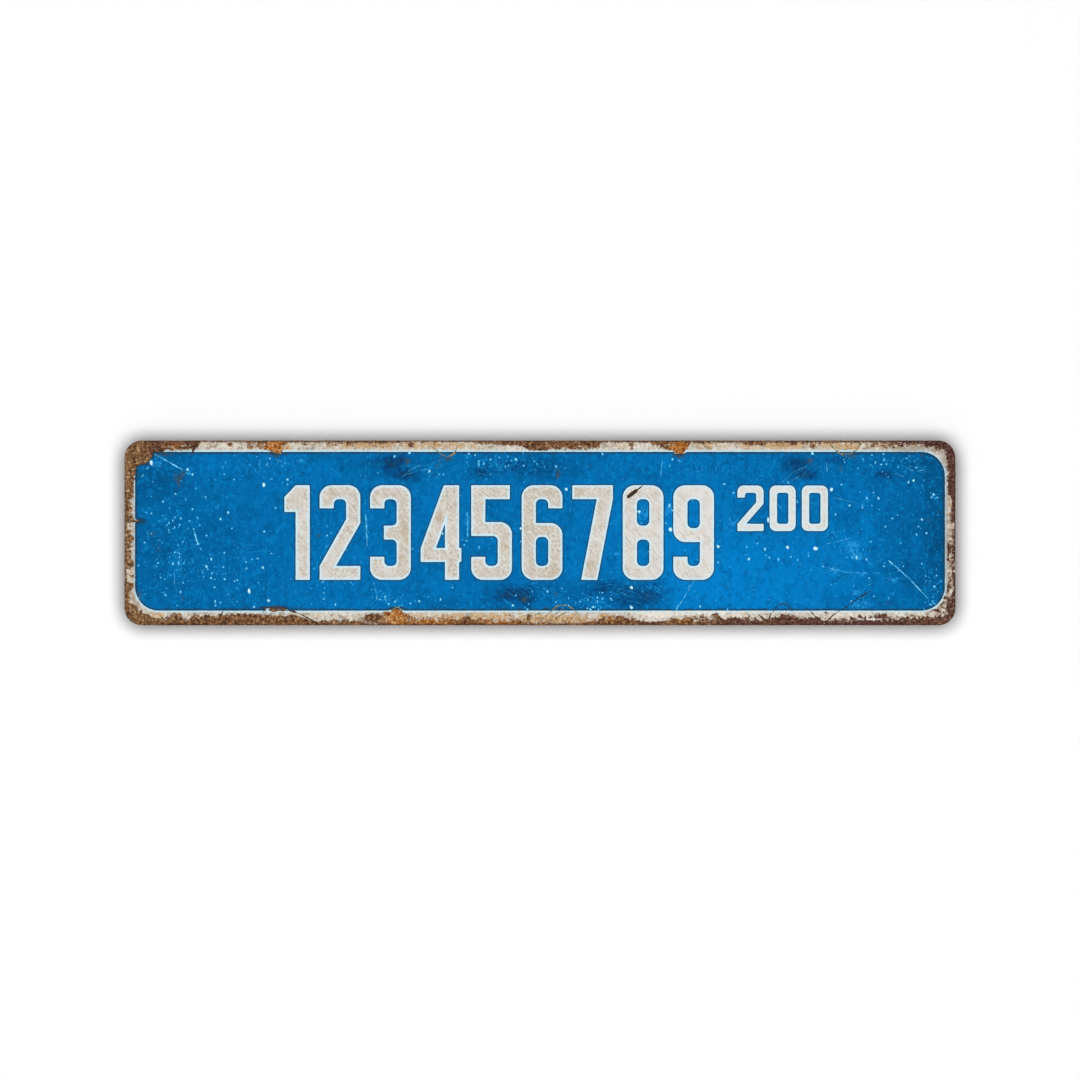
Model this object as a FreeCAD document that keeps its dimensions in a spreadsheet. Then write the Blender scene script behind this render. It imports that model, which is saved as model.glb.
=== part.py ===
"""Street name sign: one flat steel sheet with rounded corners, enamelled on its front.

The sign is a single piece. Its front carries two coats that were fired onto the sheet:
a cream coat over the whole face, and a blue field on top of it that leaves a cream
border. Both coats are real steps of the one solid, each with its own outline and with
the soft rim that molten glass takes.

Frame: +X to the reader's right, +Z up, the front faces -Y. The origin is the centre of
the flat back face, which lies in the plane y = 0. All sizes are in millimetres.
"""

import FreeCAD, Part
import math
import os
import Sketcher

SIZES = "Sizes"

# Each driving size: its name in the sheet, its value in millimetres and what it measures.
DRIVING_SIZES = (
    ("panel_length", 457.2, "sheet, left end to right end (18 in)"),
    ("panel_height", 101.6, "sheet, lower edge to upper edge (4 in)"),
    ("sheet_thickness", 1.2, "bare steel, 18 gauge"),
    ("corner_radius", 9.5, "outline of the sheet (3/8 in)"),
    ("front_edge_round", 0.4, "front arris, dulled so that the enamel doesn't spring off"),
    ("back_edge_round", 0.15, "back arris, only deburred"),
    ("cream_inset", 0.5, "from the sheet's outline to the cream coat's"),
    ("cream_thickness", 0.15, "cream coat, fired"),
    ("side_margin", 5.9, "from either end of the sheet to the blue field"),
    ("top_margin", 6.0, "from the upper edge to the blue field"),
    ("bottom_margin", 7.5, "from the lower edge to the blue field"),
    ("field_radius", 13.2, "corners of the blue field, rounder than the sheet's"),
    ("blue_thickness", 0.12, "blue coat, fired"),
)

# The soft rim of a coat takes this share of the coat's thickness.
RIM_SHARE = "0.5"


def make_sheet_of_sizes(doc):
    """One row per driving size: the name, the value under its alias, and the meaning."""
    sheet = doc.addObject("Spreadsheet::Sheet", SIZES)
    for row, (name, value, meaning) in enumerate(DRIVING_SIZES, start=1):
        sheet.set(f"A{row}", name)
        sheet.set(f"B{row}", str(value))
        sheet.set(f"C{row}", meaning)
        sheet.setAlias(f"B{row}", name)
    doc.recompute()
    return sheet


def size(name):
    """The name of a driving size as an expression reads it."""
    return f"{SIZES}.{name}"


def origin_plane(body, role):
    """The plane of the body's own origin that has this role."""
    return next(item for item in body.Origin.OriginFeatures if item.Role == role)


def rounded_rectangle(body, name, standoff, reach, radius):
    """Sketch of a rectangle with round corners, parallel to the back face.

    standoff says how far in front of the back face the sketch lies, and reach gives the
    distance from the origin to the right, left, upper and lower side. All are
    expressions on the driving sizes.
    """
    sketch = body.newObject("Sketcher::SketchObject", name)
    sketch.AttachmentSupport = [(origin_plane(body, "XZ_Plane"), "")]
    sketch.MapMode = "FlatFace"
    sketch.setExpression("AttachmentOffset.Base.z", standoff)

    right, upper, left, lower = (sketch.evalExpression(side) for side in reach)
    round_size = sketch.evalExpression(radius)
    sides = (
        ((right, -lower + round_size), (right, upper - round_size)),
        ((right - round_size, upper), (-left + round_size, upper)),
        ((-left, upper - round_size), (-left, -lower + round_size)),
        ((-left + round_size, -lower), (right - round_size, -lower)),
    )
    corners = (
        (right - round_size, upper - round_size),
        (-left + round_size, upper - round_size),
        (-left + round_size, -lower + round_size),
        (right - round_size, -lower + round_size),
    )
    for from_end, to_end in sides:
        sketch.addGeometry(
            Part.LineSegment(FreeCAD.Vector(*from_end, 0), FreeCAD.Vector(*to_end, 0))
        )
    for quarter, (x, z) in enumerate(corners):
        circle = Part.Circle(FreeCAD.Vector(x, z, 0), FreeCAD.Vector(0, 0, 1), round_size)
        from_angle = quarter * math.pi / 2
        sketch.addGeometry(
            Part.ArcOfCircle(circle, from_angle, from_angle + math.pi / 2)
        )

    start, end, origin = 1, 2, -1
    first_arc = len(sides)
    for i in range(len(sides)):
        arc = first_arc + i
        sketch.addConstraint(Sketcher.Constraint("Tangent", i, end, arc, start))
        following = (i + 1) % len(sides)
        sketch.addConstraint(Sketcher.Constraint("Tangent", arc, end, following, start))
    for side, direction in enumerate(("Vertical", "Horizontal", "Vertical", "Horizontal")):
        sketch.addConstraint(Sketcher.Constraint(direction, side))
    for arc in range(first_arc + 1, first_arc + len(corners)):
        sketch.addConstraint(Sketcher.Constraint("Equal", first_arc, arc))

    reaches = (
        ("right_reach", "DistanceX", (origin, start, 0, start), right),
        ("upper_reach", "DistanceY", (origin, start, 1, start), upper),
        ("left_reach", "DistanceX", (2, start, origin, start), left),
        ("lower_reach", "DistanceY", (3, start, origin, start), lower),
    )
    for (label, kind, ends, value), expression in zip(reaches, reach):
        index = sketch.addConstraint(Sketcher.Constraint(kind, *ends, value))
        sketch.renameConstraint(index, label)
        sketch.setExpression(f"Constraints.{label}", expression)
    index = sketch.addConstraint(Sketcher.Constraint("Radius", first_arc, round_size))
    sketch.renameConstraint(index, "corner")
    sketch.setExpression("Constraints.corner", radius)
    return sketch


def pad_forward(body, name, sketch, thickness):
    """Raise the sketched outline towards the front by a thickness."""
    pad = body.newObject("PartDesign::Pad", name)
    pad.Profile = sketch
    pad.setExpression("Length", thickness)
    sketch.Visibility = False
    body.Document.recompute()
    return pad


def round_level_edges(body, name, feature, depth, radius):
    """Round all edges of a feature that lie in the plane this far in front of the back."""
    tolerance = 1e-4
    edges = [
        f"Edge{number}"
        for number, edge in enumerate(feature.Shape.Edges, start=1)
        if all(abs(vertex.Point.y + depth) < tolerance for vertex in edge.Vertexes)
    ]
    fillet = body.newObject("PartDesign::Fillet", name)
    fillet.Base = (feature, edges)
    fillet.setExpression("Radius", radius)
    body.Document.recompute()
    return fillet


def make_sign_panel(doc, sheet):
    """The sheet with its rounded arrises, then the cream coat, then the blue field."""
    body = doc.addObject("PartDesign::Body", "sign_panel")
    body.Label = "sign_panel"

    half_length = f"{size('panel_length')} / 2"
    half_height = f"{size('panel_height')} / 2"
    outline = rounded_rectangle(
        body,
        "SheetOutline",
        "0 mm",
        (half_length, half_height, half_length, half_height),
        size("corner_radius"),
    )
    blank = pad_forward(body, "SteelSheet", outline, size("sheet_thickness"))
    steel_front = sheet.sheet_thickness
    dulled = round_level_edges(
        body, "FrontEdge", blank, steel_front, size("front_edge_round")
    )
    deburred = round_level_edges(body, "BackEdge", dulled, 0.0, size("back_edge_round"))
    body.Tip = deburred

    inset = size("cream_inset")
    cream_outline = rounded_rectangle(
        body,
        "CreamOutline",
        size("sheet_thickness"),
        (
            f"{half_length} - {inset}",
            f"{half_height} - {inset}",
            f"{half_length} - {inset}",
            f"{half_height} - {inset}",
        ),
        f"{size('corner_radius')} - {inset}",
    )
    cream = pad_forward(body, "CreamCoat", cream_outline, size("cream_thickness"))
    cream_front = steel_front + sheet.cream_thickness
    cream_rim = round_level_edges(
        body, "CreamRim", cream, cream_front, f"{size('cream_thickness')} * {RIM_SHARE}"
    )
    body.Tip = cream_rim

    field_outline = rounded_rectangle(
        body,
        "FieldOutline",
        f"{size('sheet_thickness')} + {size('cream_thickness')}",
        (
            f"{half_length} - {size('side_margin')}",
            f"{half_height} - {size('top_margin')}",
            f"{half_length} - {size('side_margin')}",
            f"{half_height} - {size('bottom_margin')}",
        ),
        size("field_radius"),
    )
    field = pad_forward(body, "BlueField", field_outline, size("blue_thickness"))
    field_front = cream_front + sheet.blue_thickness
    body.Tip = round_level_edges(
        body, "BlueRim", field, field_front, f"{size('blue_thickness')} * {RIM_SHARE}"
    )
    doc.recompute()
    return body


def check(doc, pieces):
    """Stop unless every object computed and every piece is one sound closed solid."""
    for item in doc.Objects:
        if {"Invalid", "Error"} & set(item.State):
            raise RuntimeError(f"{item.Label} failed: {item.State}")
    for piece in pieces:
        shape = piece.Shape
        if shape.isNull() or not shape.isValid() or len(shape.Solids) != 1:
            raise RuntimeError(f"{piece.Label} is not one valid solid")


def export(pieces):
    os.makedirs("parts", exist_ok=True)
    for piece in pieces:
        piece.Shape.exportStep(f"parts/{piece.Label}.step")


def main():
    doc = FreeCAD.newDocument("StreetNameSign")
    sheet = make_sheet_of_sizes(doc)
    pieces = [make_sign_panel(doc, sheet)]
    check(doc, pieces)
    export(pieces)
    for piece in pieces:
        box = piece.Shape.BoundBox
        print(
            f"{piece.Label}: {box.XLength:.2f} x {box.YLength:.2f} x {box.ZLength:.2f} mm,"
            f" y {box.YMin:.3f} to {box.YMax:.3f}, {piece.Shape.Volume / 1000:.2f} cm3"
        )


main()
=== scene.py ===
"""Street name sign: a steel sheet with round corners, enamelled cream and then blue.

Frame: +X to the reader's right, +Z up, the front faces -Y, and the back lies in y = 0.
All lengths are in metres. Places read from the photograph are in its own pixels, and
across() and up() turn them to metres on the sign.
"""

import math

import bpy
import numpy as np
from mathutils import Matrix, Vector


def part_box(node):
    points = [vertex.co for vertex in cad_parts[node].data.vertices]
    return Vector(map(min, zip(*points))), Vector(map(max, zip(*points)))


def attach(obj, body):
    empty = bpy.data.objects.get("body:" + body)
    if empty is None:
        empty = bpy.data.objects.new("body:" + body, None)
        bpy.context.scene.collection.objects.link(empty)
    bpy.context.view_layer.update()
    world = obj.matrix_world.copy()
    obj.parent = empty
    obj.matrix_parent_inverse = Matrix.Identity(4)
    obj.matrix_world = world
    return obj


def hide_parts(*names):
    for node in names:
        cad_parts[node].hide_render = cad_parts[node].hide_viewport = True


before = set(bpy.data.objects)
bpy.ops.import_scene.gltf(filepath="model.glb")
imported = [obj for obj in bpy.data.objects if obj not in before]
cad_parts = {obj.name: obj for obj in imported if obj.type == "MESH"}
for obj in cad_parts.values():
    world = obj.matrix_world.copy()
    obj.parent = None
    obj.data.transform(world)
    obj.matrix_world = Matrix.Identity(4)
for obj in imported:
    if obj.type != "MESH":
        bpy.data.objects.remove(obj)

bl_info = {
    "name": "Street Name Sign",
    "version": (1, 0, 0),
    "blender": (4, 5, 0),
    "location": "View3D > Sidebar > Sign",
    "description": "Builds a weathered enamelled street name sign, piece by piece",
    "category": "Add Mesh",
}

MM = 0.001

# The photograph: its rows and columns, the middle one, counted from nought, how much of
# the sign one pixel covers, and where the sign's centre falls.
PICTURE_SIZE = 1080
PICTURE_MIDDLE = (PICTURE_SIZE - 1) / 2
PIXEL = 0.5502 * MM
SIGN_CENTRE_PX = 539.5
SIGN_CENTRE_PY = 532.4

CAD_LOW, CAD_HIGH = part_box("sign_panel")
BODY = "root"

# Heights above the flat back, towards the reader. Each coat is sunk a little into the
# one below it, so that no gap shows under its rim.
STEEL_FRONT = 1.20 * MM
COAT_FOOT = 1.08 * MM
CREAM_FRONT = 1.33 * MM
BLUE_FRONT = 1.41 * MM
NUMERAL_FOOT = 1.36 * MM
NUMERAL_FRONT = 1.44 * MM
MARK_RISE = 0.05 * MM


def across(px):
    """Metres to the right of the sign's centre, from the photograph's column."""
    return (np.asarray(px, float) - SIGN_CENTRE_PX) * PIXEL


def up(py):
    """Metres above the sign's centre, from the photograph's row."""
    return (SIGN_CENTRE_PY - np.asarray(py, float)) * PIXEL


# fmt: off
# How deep the rust reaches in from the sheet's outline, in pixels of the photograph.
# Each entry is a place along the side and the depth there. The border itself is about
# 11 pixels wide on three sides and 14 at the bottom.
RUST_TOP = (
    (141, 23), (157, 21), (161, 14), (166, 9.5), (176, 9), (190, 9), (196, 8), (199, 1.2),
    (245, 1.2), (247, 3), (251, 3), (256, 2), (258, 6), (263, 7), (266, 9), (276, 13),
    (281, 10), (284, 5), (287, 1.2), (324, 1.2), (328, 2.6), (351, 2.6), (357, 1.6), (378, 2.3),
    (402, 2.1), (411, 1), (474, 1), (479, 2.8), (486, 3.2), (492, 3.2), (513, 4.2), (520, 5.6),
    (526, 8), (530, 10.3), (546, 10.2), (551, 8.2), (571, 8.4), (592, 7.8), (599, 6.4),
    (601, 1.5), (649, 1.5), (652, 4), (659, 4), (661, 7), (667, 8), (670, 9.5), (679, 13),
    (686, 9.5), (690, 2.5), (694, 1.5), (699, 2.5), (708, 2.5), (714, 1.5), (741, 1.5),
    (744, 4), (763, 4.5), (767, 2), (789, 2), (791, 4), (796, 4), (798, 2.6), (832, 2.2),
    (866, 1.4), (872, 2), (888, 2.6), (904, 3.6), (914, 4), (927, 6), (938, 8.5),
)
RUST_RIGHT = (
    (456, 8.8), (470, 8), (495, 7.4), (499, 4), (507, 3.6), (509, 4.2), (520, 4.2), (524, 0.8),
    (528, 0.8), (531, 3), (543, 3.4), (547, 4.2), (553, 3.5), (569, 3.4), (577, 2.8),
    (590, 2.4), (594, 3.6), (600, 6.3), (607, 8),
)
RUST_BOTTOM = (
    (141, 13), (150, 9), (159, 7), (164, 4), (169, 9), (178, 12.5), (183, 6), (189, 6),
    (193, 9.5), (220, 10), (225, 11), (260, 11), (264, 9.2), (285, 9.4), (290, 10), (298, 9),
    (315, 4), (318, 2), (321, 4), (340, 4.6), (354, 4.6), (363, 4.6), (366, 6.6), (380, 7),
    (384, 12), (387, 14.5), (401, 14.5), (407, 10.5), (411, 6), (432, 6.4), (450, 6.2),
    (474, 6.6), (479, 4.8), (500, 5), (520, 4.2), (530, 2.5), (560, 2.2), (588, 3), (597, 5.2),
    (608, 7.4), (612, 8.6), (626, 8), (633, 6), (640, 3.9), (648, 2.6), (655, 3.2), (662, 5),
    (670, 6.8), (690, 7.2), (714, 6.9), (719, 7), (750, 7.5), (758, 5), (767, 5.6), (774, 7.6),
    (782, 10), (788, 11.4), (794, 9), (800, 7), (822, 6.4), (828, 4.4), (846, 4.8), (852, 7.6),
    (858, 9), (882, 9), (886, 7), (898, 7), (910, 7.6), (918, 7.8), (922, 8.4), (935, 9),
    (938, 9),
)
RUST_LEFT = (
    (458, 23), (473, 18), (476, 10.5), (496, 10.5), (498, 6), (505, 6), (507, 8), (519, 8),
    (522, 2.5), (529, 2.5), (531, 8), (536, 8), (537, 10), (540, 10), (542, 6), (559, 6),
    (561, 10), (566, 10), (568, 2), (582, 2), (583, 10), (594, 5), (597, 4.5), (602, 5),
    (607, 13),
)

# The line along which rust has cut off the blue's upper left corner: columns and rows.
CORNER_CUT = ((137, 465), (148, 461.5), (154.5, 450.5))

# Spots and patches: centre column and row, half width and half height. A patch ends
# with its strength.
THROUGH_RUST = (
    (276, 448.2, 7, 5.2), (679, 448.6, 7, 5.4), (275, 609.3, 12, 1.7), (395.5, 611, 6.5, 2.8),
    (134, 520.5, 5, 1.3),
)
WORN_CORNER = ((144, 460, 34, 20),)
CRUMBLING = (
    (128, 530, 12, 60, 0.8), (905, 446, 46, 8, 0.6), (945, 602, 18, 16, 0.7),
    (375, 618, 30, 8, 0.8), (490, 620, 60, 7, 0.7), (700, 616, 26, 7, 0.9),
    (672, 446, 20, 6, 0.6), (375, 444, 24, 5, 0.6), (480, 443, 16, 5, 0.6),
    (275, 447, 16, 6, 0.7), (800, 445, 30, 5, 0.5), (860, 616, 90, 6, 0.5),
)
SPECKLED = (
    (951, 563, 6, 46, 1), (892, 445, 46, 5, 0.78), (374, 618, 18, 9, 1), (706, 617, 18, 5, 1),
    (262, 446, 10, 6, 0.8), (415, 619, 20, 4, 0.8), (500, 621, 40, 3.5, 0.7),
    (665, 445, 14, 5, 0.75), (340, 444, 24, 3, 0.6), (480, 443, 20, 3, 0.45),
    (940, 602, 12, 12, 0.6), (555, 446, 30, 4, 0.55), (129, 545, 6, 60, 0.55),
    (760, 615, 24, 4, 0.5), (835, 620, 34, 4, 0.7), (900, 619, 20, 4, 0.6),
)
SOILED = (
    (136, 540, 4, 70, 0.75), (946, 530, 4, 80, 0.6), (172, 449, 18, 4, 0.8),
    (900, 449, 34, 5, 0.6), (215, 612, 40, 4, 0.25), (945, 454, 12, 10, 0.4),
    (133.6, 540, 1.6, 80, 0.5), (945.6, 530, 1.8, 85, 0.5), (914, 449, 18, 2.6, 0.9),
    (570, 449, 34, 2, 0.6), (943, 462, 4, 9, 0.5),
)
FRESH = (
    (652, 615, 22, 6, 0.75), (845, 614, 30, 4, 0.6), (715, 613, 50, 3.5, 0.75),
    (905, 614, 26, 4, 0.35), (340, 613, 30, 5, 0.35), (410, 613, 14, 3, 0.2),
    (640, 446, 20, 4, 0.6), (220, 446, 20, 4, 0.2), (870, 618.5, 14, 2, 1),
)
BARE_SPOTS = (
    (229, 443.5, 2, 1.4), (303, 442.6, 2.2, 1.7), (410, 444.5, 2.5, 2.3), (631, 445, 1.6, 2.2),
    (812, 445.5, 2.4, 2.2), (901, 445.5, 2.2, 1.6), (133, 576, 1.6, 1.6),
    (949, 546.5, 2.4, 2.4), (912, 615, 1.8, 1.6), (881, 615.5, 5, 1.6), (825, 611, 1.6, 1.3),
    (528, 616.5, 2, 2.6), (174, 618, 2.6, 4.4), (269, 619, 6, 3), (373, 617.5, 9, 4.2),
    (517, 622, 5, 1.7), (934, 609.8, 4.2, 1.4), (663, 445, 3.6, 2.6), (700, 617, 3, 1.2),
    (716, 613.5, 1.6, 1.2), (250, 446, 3, 1.4),
)
CREAM_FLECKS = (
    (268, 611.8, 4.4, 1.5), (279.5, 611.8, 4.8, 1.6), (791, 613.8, 2.4, 2.2),
    (700, 614, 3.4, 1.4), (710, 618, 3, 1.2), (696, 620.5, 2, 1), (941, 450, 3, 1.3),
    (938, 455.5, 2, 2), (939, 596, 2.6, 2), (943, 591, 1.6, 2.4), (872, 618.7, 13, 1.1),
    (560, 447, 3.5, 0.9), (578, 445.5, 3, 0.8), (588, 447.5, 3.6, 0.9), (170, 446.2, 2, 0.8),
    (184, 445.2, 2.2, 0.7), (750, 617, 1.6, 3.4), (129, 500, 1.5, 1), (130, 513, 1.4, 1.2),
    (128, 549, 1.6, 1.2), (374, 617.5, 3.8, 0.9), (364.5, 619, 1.2, 3), (380, 615, 2, 0.8),
    (370, 621.5, 2.2, 0.9), (896, 618, 2.6, 1.2), (886, 617, 1, 2.2), (386, 619.5, 3, 0.8),
)
TAN_PATCHES = (
    (375, 445, 22, 5, 0.9), (289, 446, 7, 5, 0.35), (435, 444, 40, 5, 0.85),
    (340, 445, 14, 4, 0.5), (777, 445, 15, 5, 0.8), (850, 446, 16, 5, 0.6),
    (745, 445, 12, 3, 0.5), (705, 446, 9, 4, 0.6), (500, 616, 28, 6, 0.75),
    (440, 616, 32, 6, 0.75), (575, 619, 26, 5, 1), (540, 619, 20, 5, 0.7),
    (158, 613, 9, 7, 0.8), (310, 613, 14, 4, 0.3), (605, 615, 8, 6, 0.6),
    (730, 614, 18, 3, 0.3), (129, 488, 4, 12, 0.5), (882, 445, 10, 3, 0.4),
    (129, 560, 5, 40, 0.3), (720, 446, 20, 5, 0.3), (276, 447, 15, 7, 0.9),
    (808, 444, 30, 4, 0.7), (895, 446, 40, 5, 0.35), (951, 530, 5, 60, 0.35),
    (679, 448, 15, 7, 0.9), (394, 612, 16, 5, 0.6), (240, 446, 16, 5, 0.2),
)
ORANGE_RUST = (
    (275, 447, 10, 7, 1), (679, 448, 11, 7, 1), (394, 616, 11, 9, 1), (578, 618, 18, 6, 0.75),
    (500, 619, 26, 6, 0.7), (545, 619, 14, 6, 0.5), (655, 446, 6, 4, 0.3),
    (682, 619, 9, 4, 0.55), (610, 618, 8, 5, 0.4), (430, 620, 28, 4, 0.7),
    (262, 445, 5, 4, 0.3), (174, 445, 12, 5, 0.4), (570, 446, 20, 4, 0.25),
)
OLIVE_RUST = (
    (128, 530, 14, 70, 1), (135, 465, 16, 22, 0.8), (138, 610, 20, 16, 1),
    (165, 618, 16, 9, 0.5), (850, 445, 30, 4, 0.3), (560, 618, 24, 6, 0.5),
    (490, 620, 40, 5, 0.35), (345, 620, 20, 5, 0.7),
)
PURPLE_RUST = (
    (952, 520, 14, 70, 1), (925, 446, 44, 12, 1), (945, 600, 20, 18, 0.7),
    (155, 447, 9, 9, 0.5), (191, 445, 7, 6, 0.5), (850, 621, 90, 9, 0.85),
    (650, 622, 14, 3, 0.6), (735, 621, 34, 6, 0.45), (176, 443, 12, 3, 0.5),
)
BRIGHT_BLUE = (
    (745, 590, 90, 46, 0.8), (690, 550, 70, 60, 0.35), (350, 600, 70, 18, 0.25),
    (660, 520, 60, 40, 0.2), (215, 465, 40, 14, 0.25), (625, 464, 40, 14, 0.3),
    (840, 545, 50, 50, 0.3), (440, 588, 30, 8, 0.2),
)
DULL_BLUE = (
    (160, 520, 80, 90, 0.3), (150, 470, 30, 26, 0.5), (944, 520, 20, 120, 0.95),
    (935, 456, 50, 22, 0.45), (805, 466, 34, 12, 0.35), (385, 466, 40, 12, 0.35),
    (545, 464, 60, 14, 0.4), (460, 465, 60, 14, 0.15), (510, 597, 30, 14, 0.5),
    (620, 597, 50, 14, 0.4), (895, 590, 40, 30, 0.3), (745, 462, 20, 10, 0.15),
    (320, 456, 30, 8, 0.3), (210, 585, 70, 30, 0.1), (922, 463, 30, 16, 0.6),
    (912, 530, 34, 52, 0.45), (180, 530, 60, 80, 0.15), (214, 604, 16, 6, 0.4),
    (448, 603, 30, 7, 0.45), (530, 474, 34, 12, 0.3), (860, 466, 24, 16, 0.5),
    (805, 458, 16, 6, 0.35), (548, 458, 16, 6, 0.3),
)
DARK_BLOTCHES = (
    (389, 463, 15, 9, 1), (406, 475, 17, 6, 1), (402, 459, 8, 6, 0.6), (480, 472, 10, 6, 0.9),
    (512, 464, 22, 9, 0.4), (508, 594, 17, 9, 1), (528, 600, 9, 6, 0.8),
    (625, 590, 44, 10, 0.8), (630, 604, 20, 7, 0.6), (652, 598, 12, 8, 0.5),
    (601, 586, 10, 5, 0.35), (795, 463, 16, 8, 0.9), (805, 475, 15, 6, 1), (883, 474, 12, 5, 1),
    (835, 460, 26, 6, 0.5), (470, 578, 10, 6, 0.35), (430, 536, 6, 10, 0.4),
    (700, 468, 20, 5, 0.35), (910, 565, 22, 18, 0.35), (868, 549, 7, 3, 0.55),
    (560, 470, 16, 10, 0.4), (520, 466, 30, 8, 0.35), (905, 515, 20, 16, 0.3),
    (870, 600, 14, 6, 0.4), (180, 477, 6, 10, 0.55), (524, 599, 5, 6, 0.4),
    (183, 599, 5, 5, 0.3), (528, 588, 12, 7, 0.6),
)
BROWN_STAINS = (
    (178.5, 480, 4.6, 8, 0.72), (183, 472, 3, 4, 0.5), (406.5, 460, 4, 4.4, 0.88),
    (437, 467, 3, 4, 0.65), (524, 599, 3.4, 4.6, 0.85), (557, 474, 3, 5, 0.78),
    (555, 593, 2.4, 3.4, 0.6), (809, 460, 4.4, 4.6, 0.88), (840, 468, 3, 4, 0.8),
    (318, 535, 4.2, 3, 0.7), (157, 547, 4.6, 5, 0.5), (151, 533, 4.4, 5, 0.45),
    (138, 520, 3.4, 1.6, 0.9), (183, 599, 3, 4, 0.55), (138.5, 596, 3, 8, 0.85),
    (938, 512, 3, 4, 0.5), (930, 521, 4, 3, 0.5), (886, 604, 4, 5, 0.4), (276, 454, 9, 3, 0.9),
    (679, 455, 9, 3, 0.9), (446, 458, 10, 3.4, 0.72), (276, 607, 14, 2.4, 0.95),
    (850, 455, 12, 3, 0.75), (555, 608, 12, 2, 0.6), (143, 462, 8, 5, 0.6),
    (398, 608, 8, 2, 0.6), (175, 474, 2, 3, 0.3), (588, 464, 3, 2, 0.45), (922, 455, 3, 3, 0.5),
    (265, 607.5, 3, 2, 0.6), (884, 475, 5, 3, 0.5), (163, 453.5, 13, 3, 0.78),
    (143, 462.5, 6, 2, 0.6), (393, 607.5, 9, 1.6, 0.75), (137.5, 475, 2, 9, 0.6),
)
PALE_SCUFFS = (
    (158, 463, 7, 5, 0.7), (189, 472, 5, 4, 0.7), (283, 462, 7, 4, 0.5), (300, 460, 4, 4, 0.9),
    (434, 474, 12, 3, 0.4), (498, 462, 24, 7, 0.4), (648, 512, 12, 6, 0.8),
    (668, 509, 6, 5, 0.7), (366, 530, 4, 14, 0.6), (467, 520, 3, 12, 0.8),
    (650, 588, 18, 5, 0.4), (617, 554, 4, 3, 0.9), (735, 522, 12, 6, 0.7),
    (760, 530, 8, 8, 0.4), (852, 546, 9, 7, 0.9), (858, 557, 8, 4, 0.7), (835, 571, 9, 4, 0.85),
    (862, 574, 12, 3, 0.6), (893, 579, 6, 3, 1), (856, 592, 9, 4, 0.7), (860, 604, 12, 5, 0.8),
    (866, 498, 3, 3, 0.9), (935, 496, 5, 4, 0.8), (834, 533, 5, 4, 0.7),
    (185, 562, 24, 16, 0.3), (250, 545, 14, 8, 0.3), (178, 575, 5, 20, 0.3),
    (260, 470, 24, 10, 0.3), (930, 585, 9, 22, 0.35), (385, 598, 22, 6, 0.4),
    (820, 505, 16, 8, 0.3), (905, 460, 30, 5, 0.35), (540, 585, 20, 8, 0.3),
    (590, 600, 16, 6, 0.35), (700, 470, 26, 8, 0.3), (226, 495, 8, 6, 0.3),
)

# On the numerals: where the coat is lighter, and where it is darker and browner.
LIGHTER_NUMERAL_PATCHES = (
    (700, 530, 75, 80, 1), (612, 525, 34, 60, 0.3), (785, 508, 60, 40, 1.3),
    (318, 530, 45, 80, 0.42), (475, 530, 50, 80, 0.28), (388, 568, 10, 12, 0.6),
)
DARKER_NUMERAL_PATCHES = (
    (411, 531, 12, 14, 0.7), (408, 566, 16, 12, 0.3), (366, 545, 12, 30, 0.2),
    (560, 570, 44, 16, 0.25), (535, 515, 26, 44, 0.2), (572, 495, 10, 14, 0.3),
    (496, 490, 20, 10, 0.15), (630, 572, 18, 8, 0.15), (290, 560, 8, 20, 0.15),
)

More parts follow.
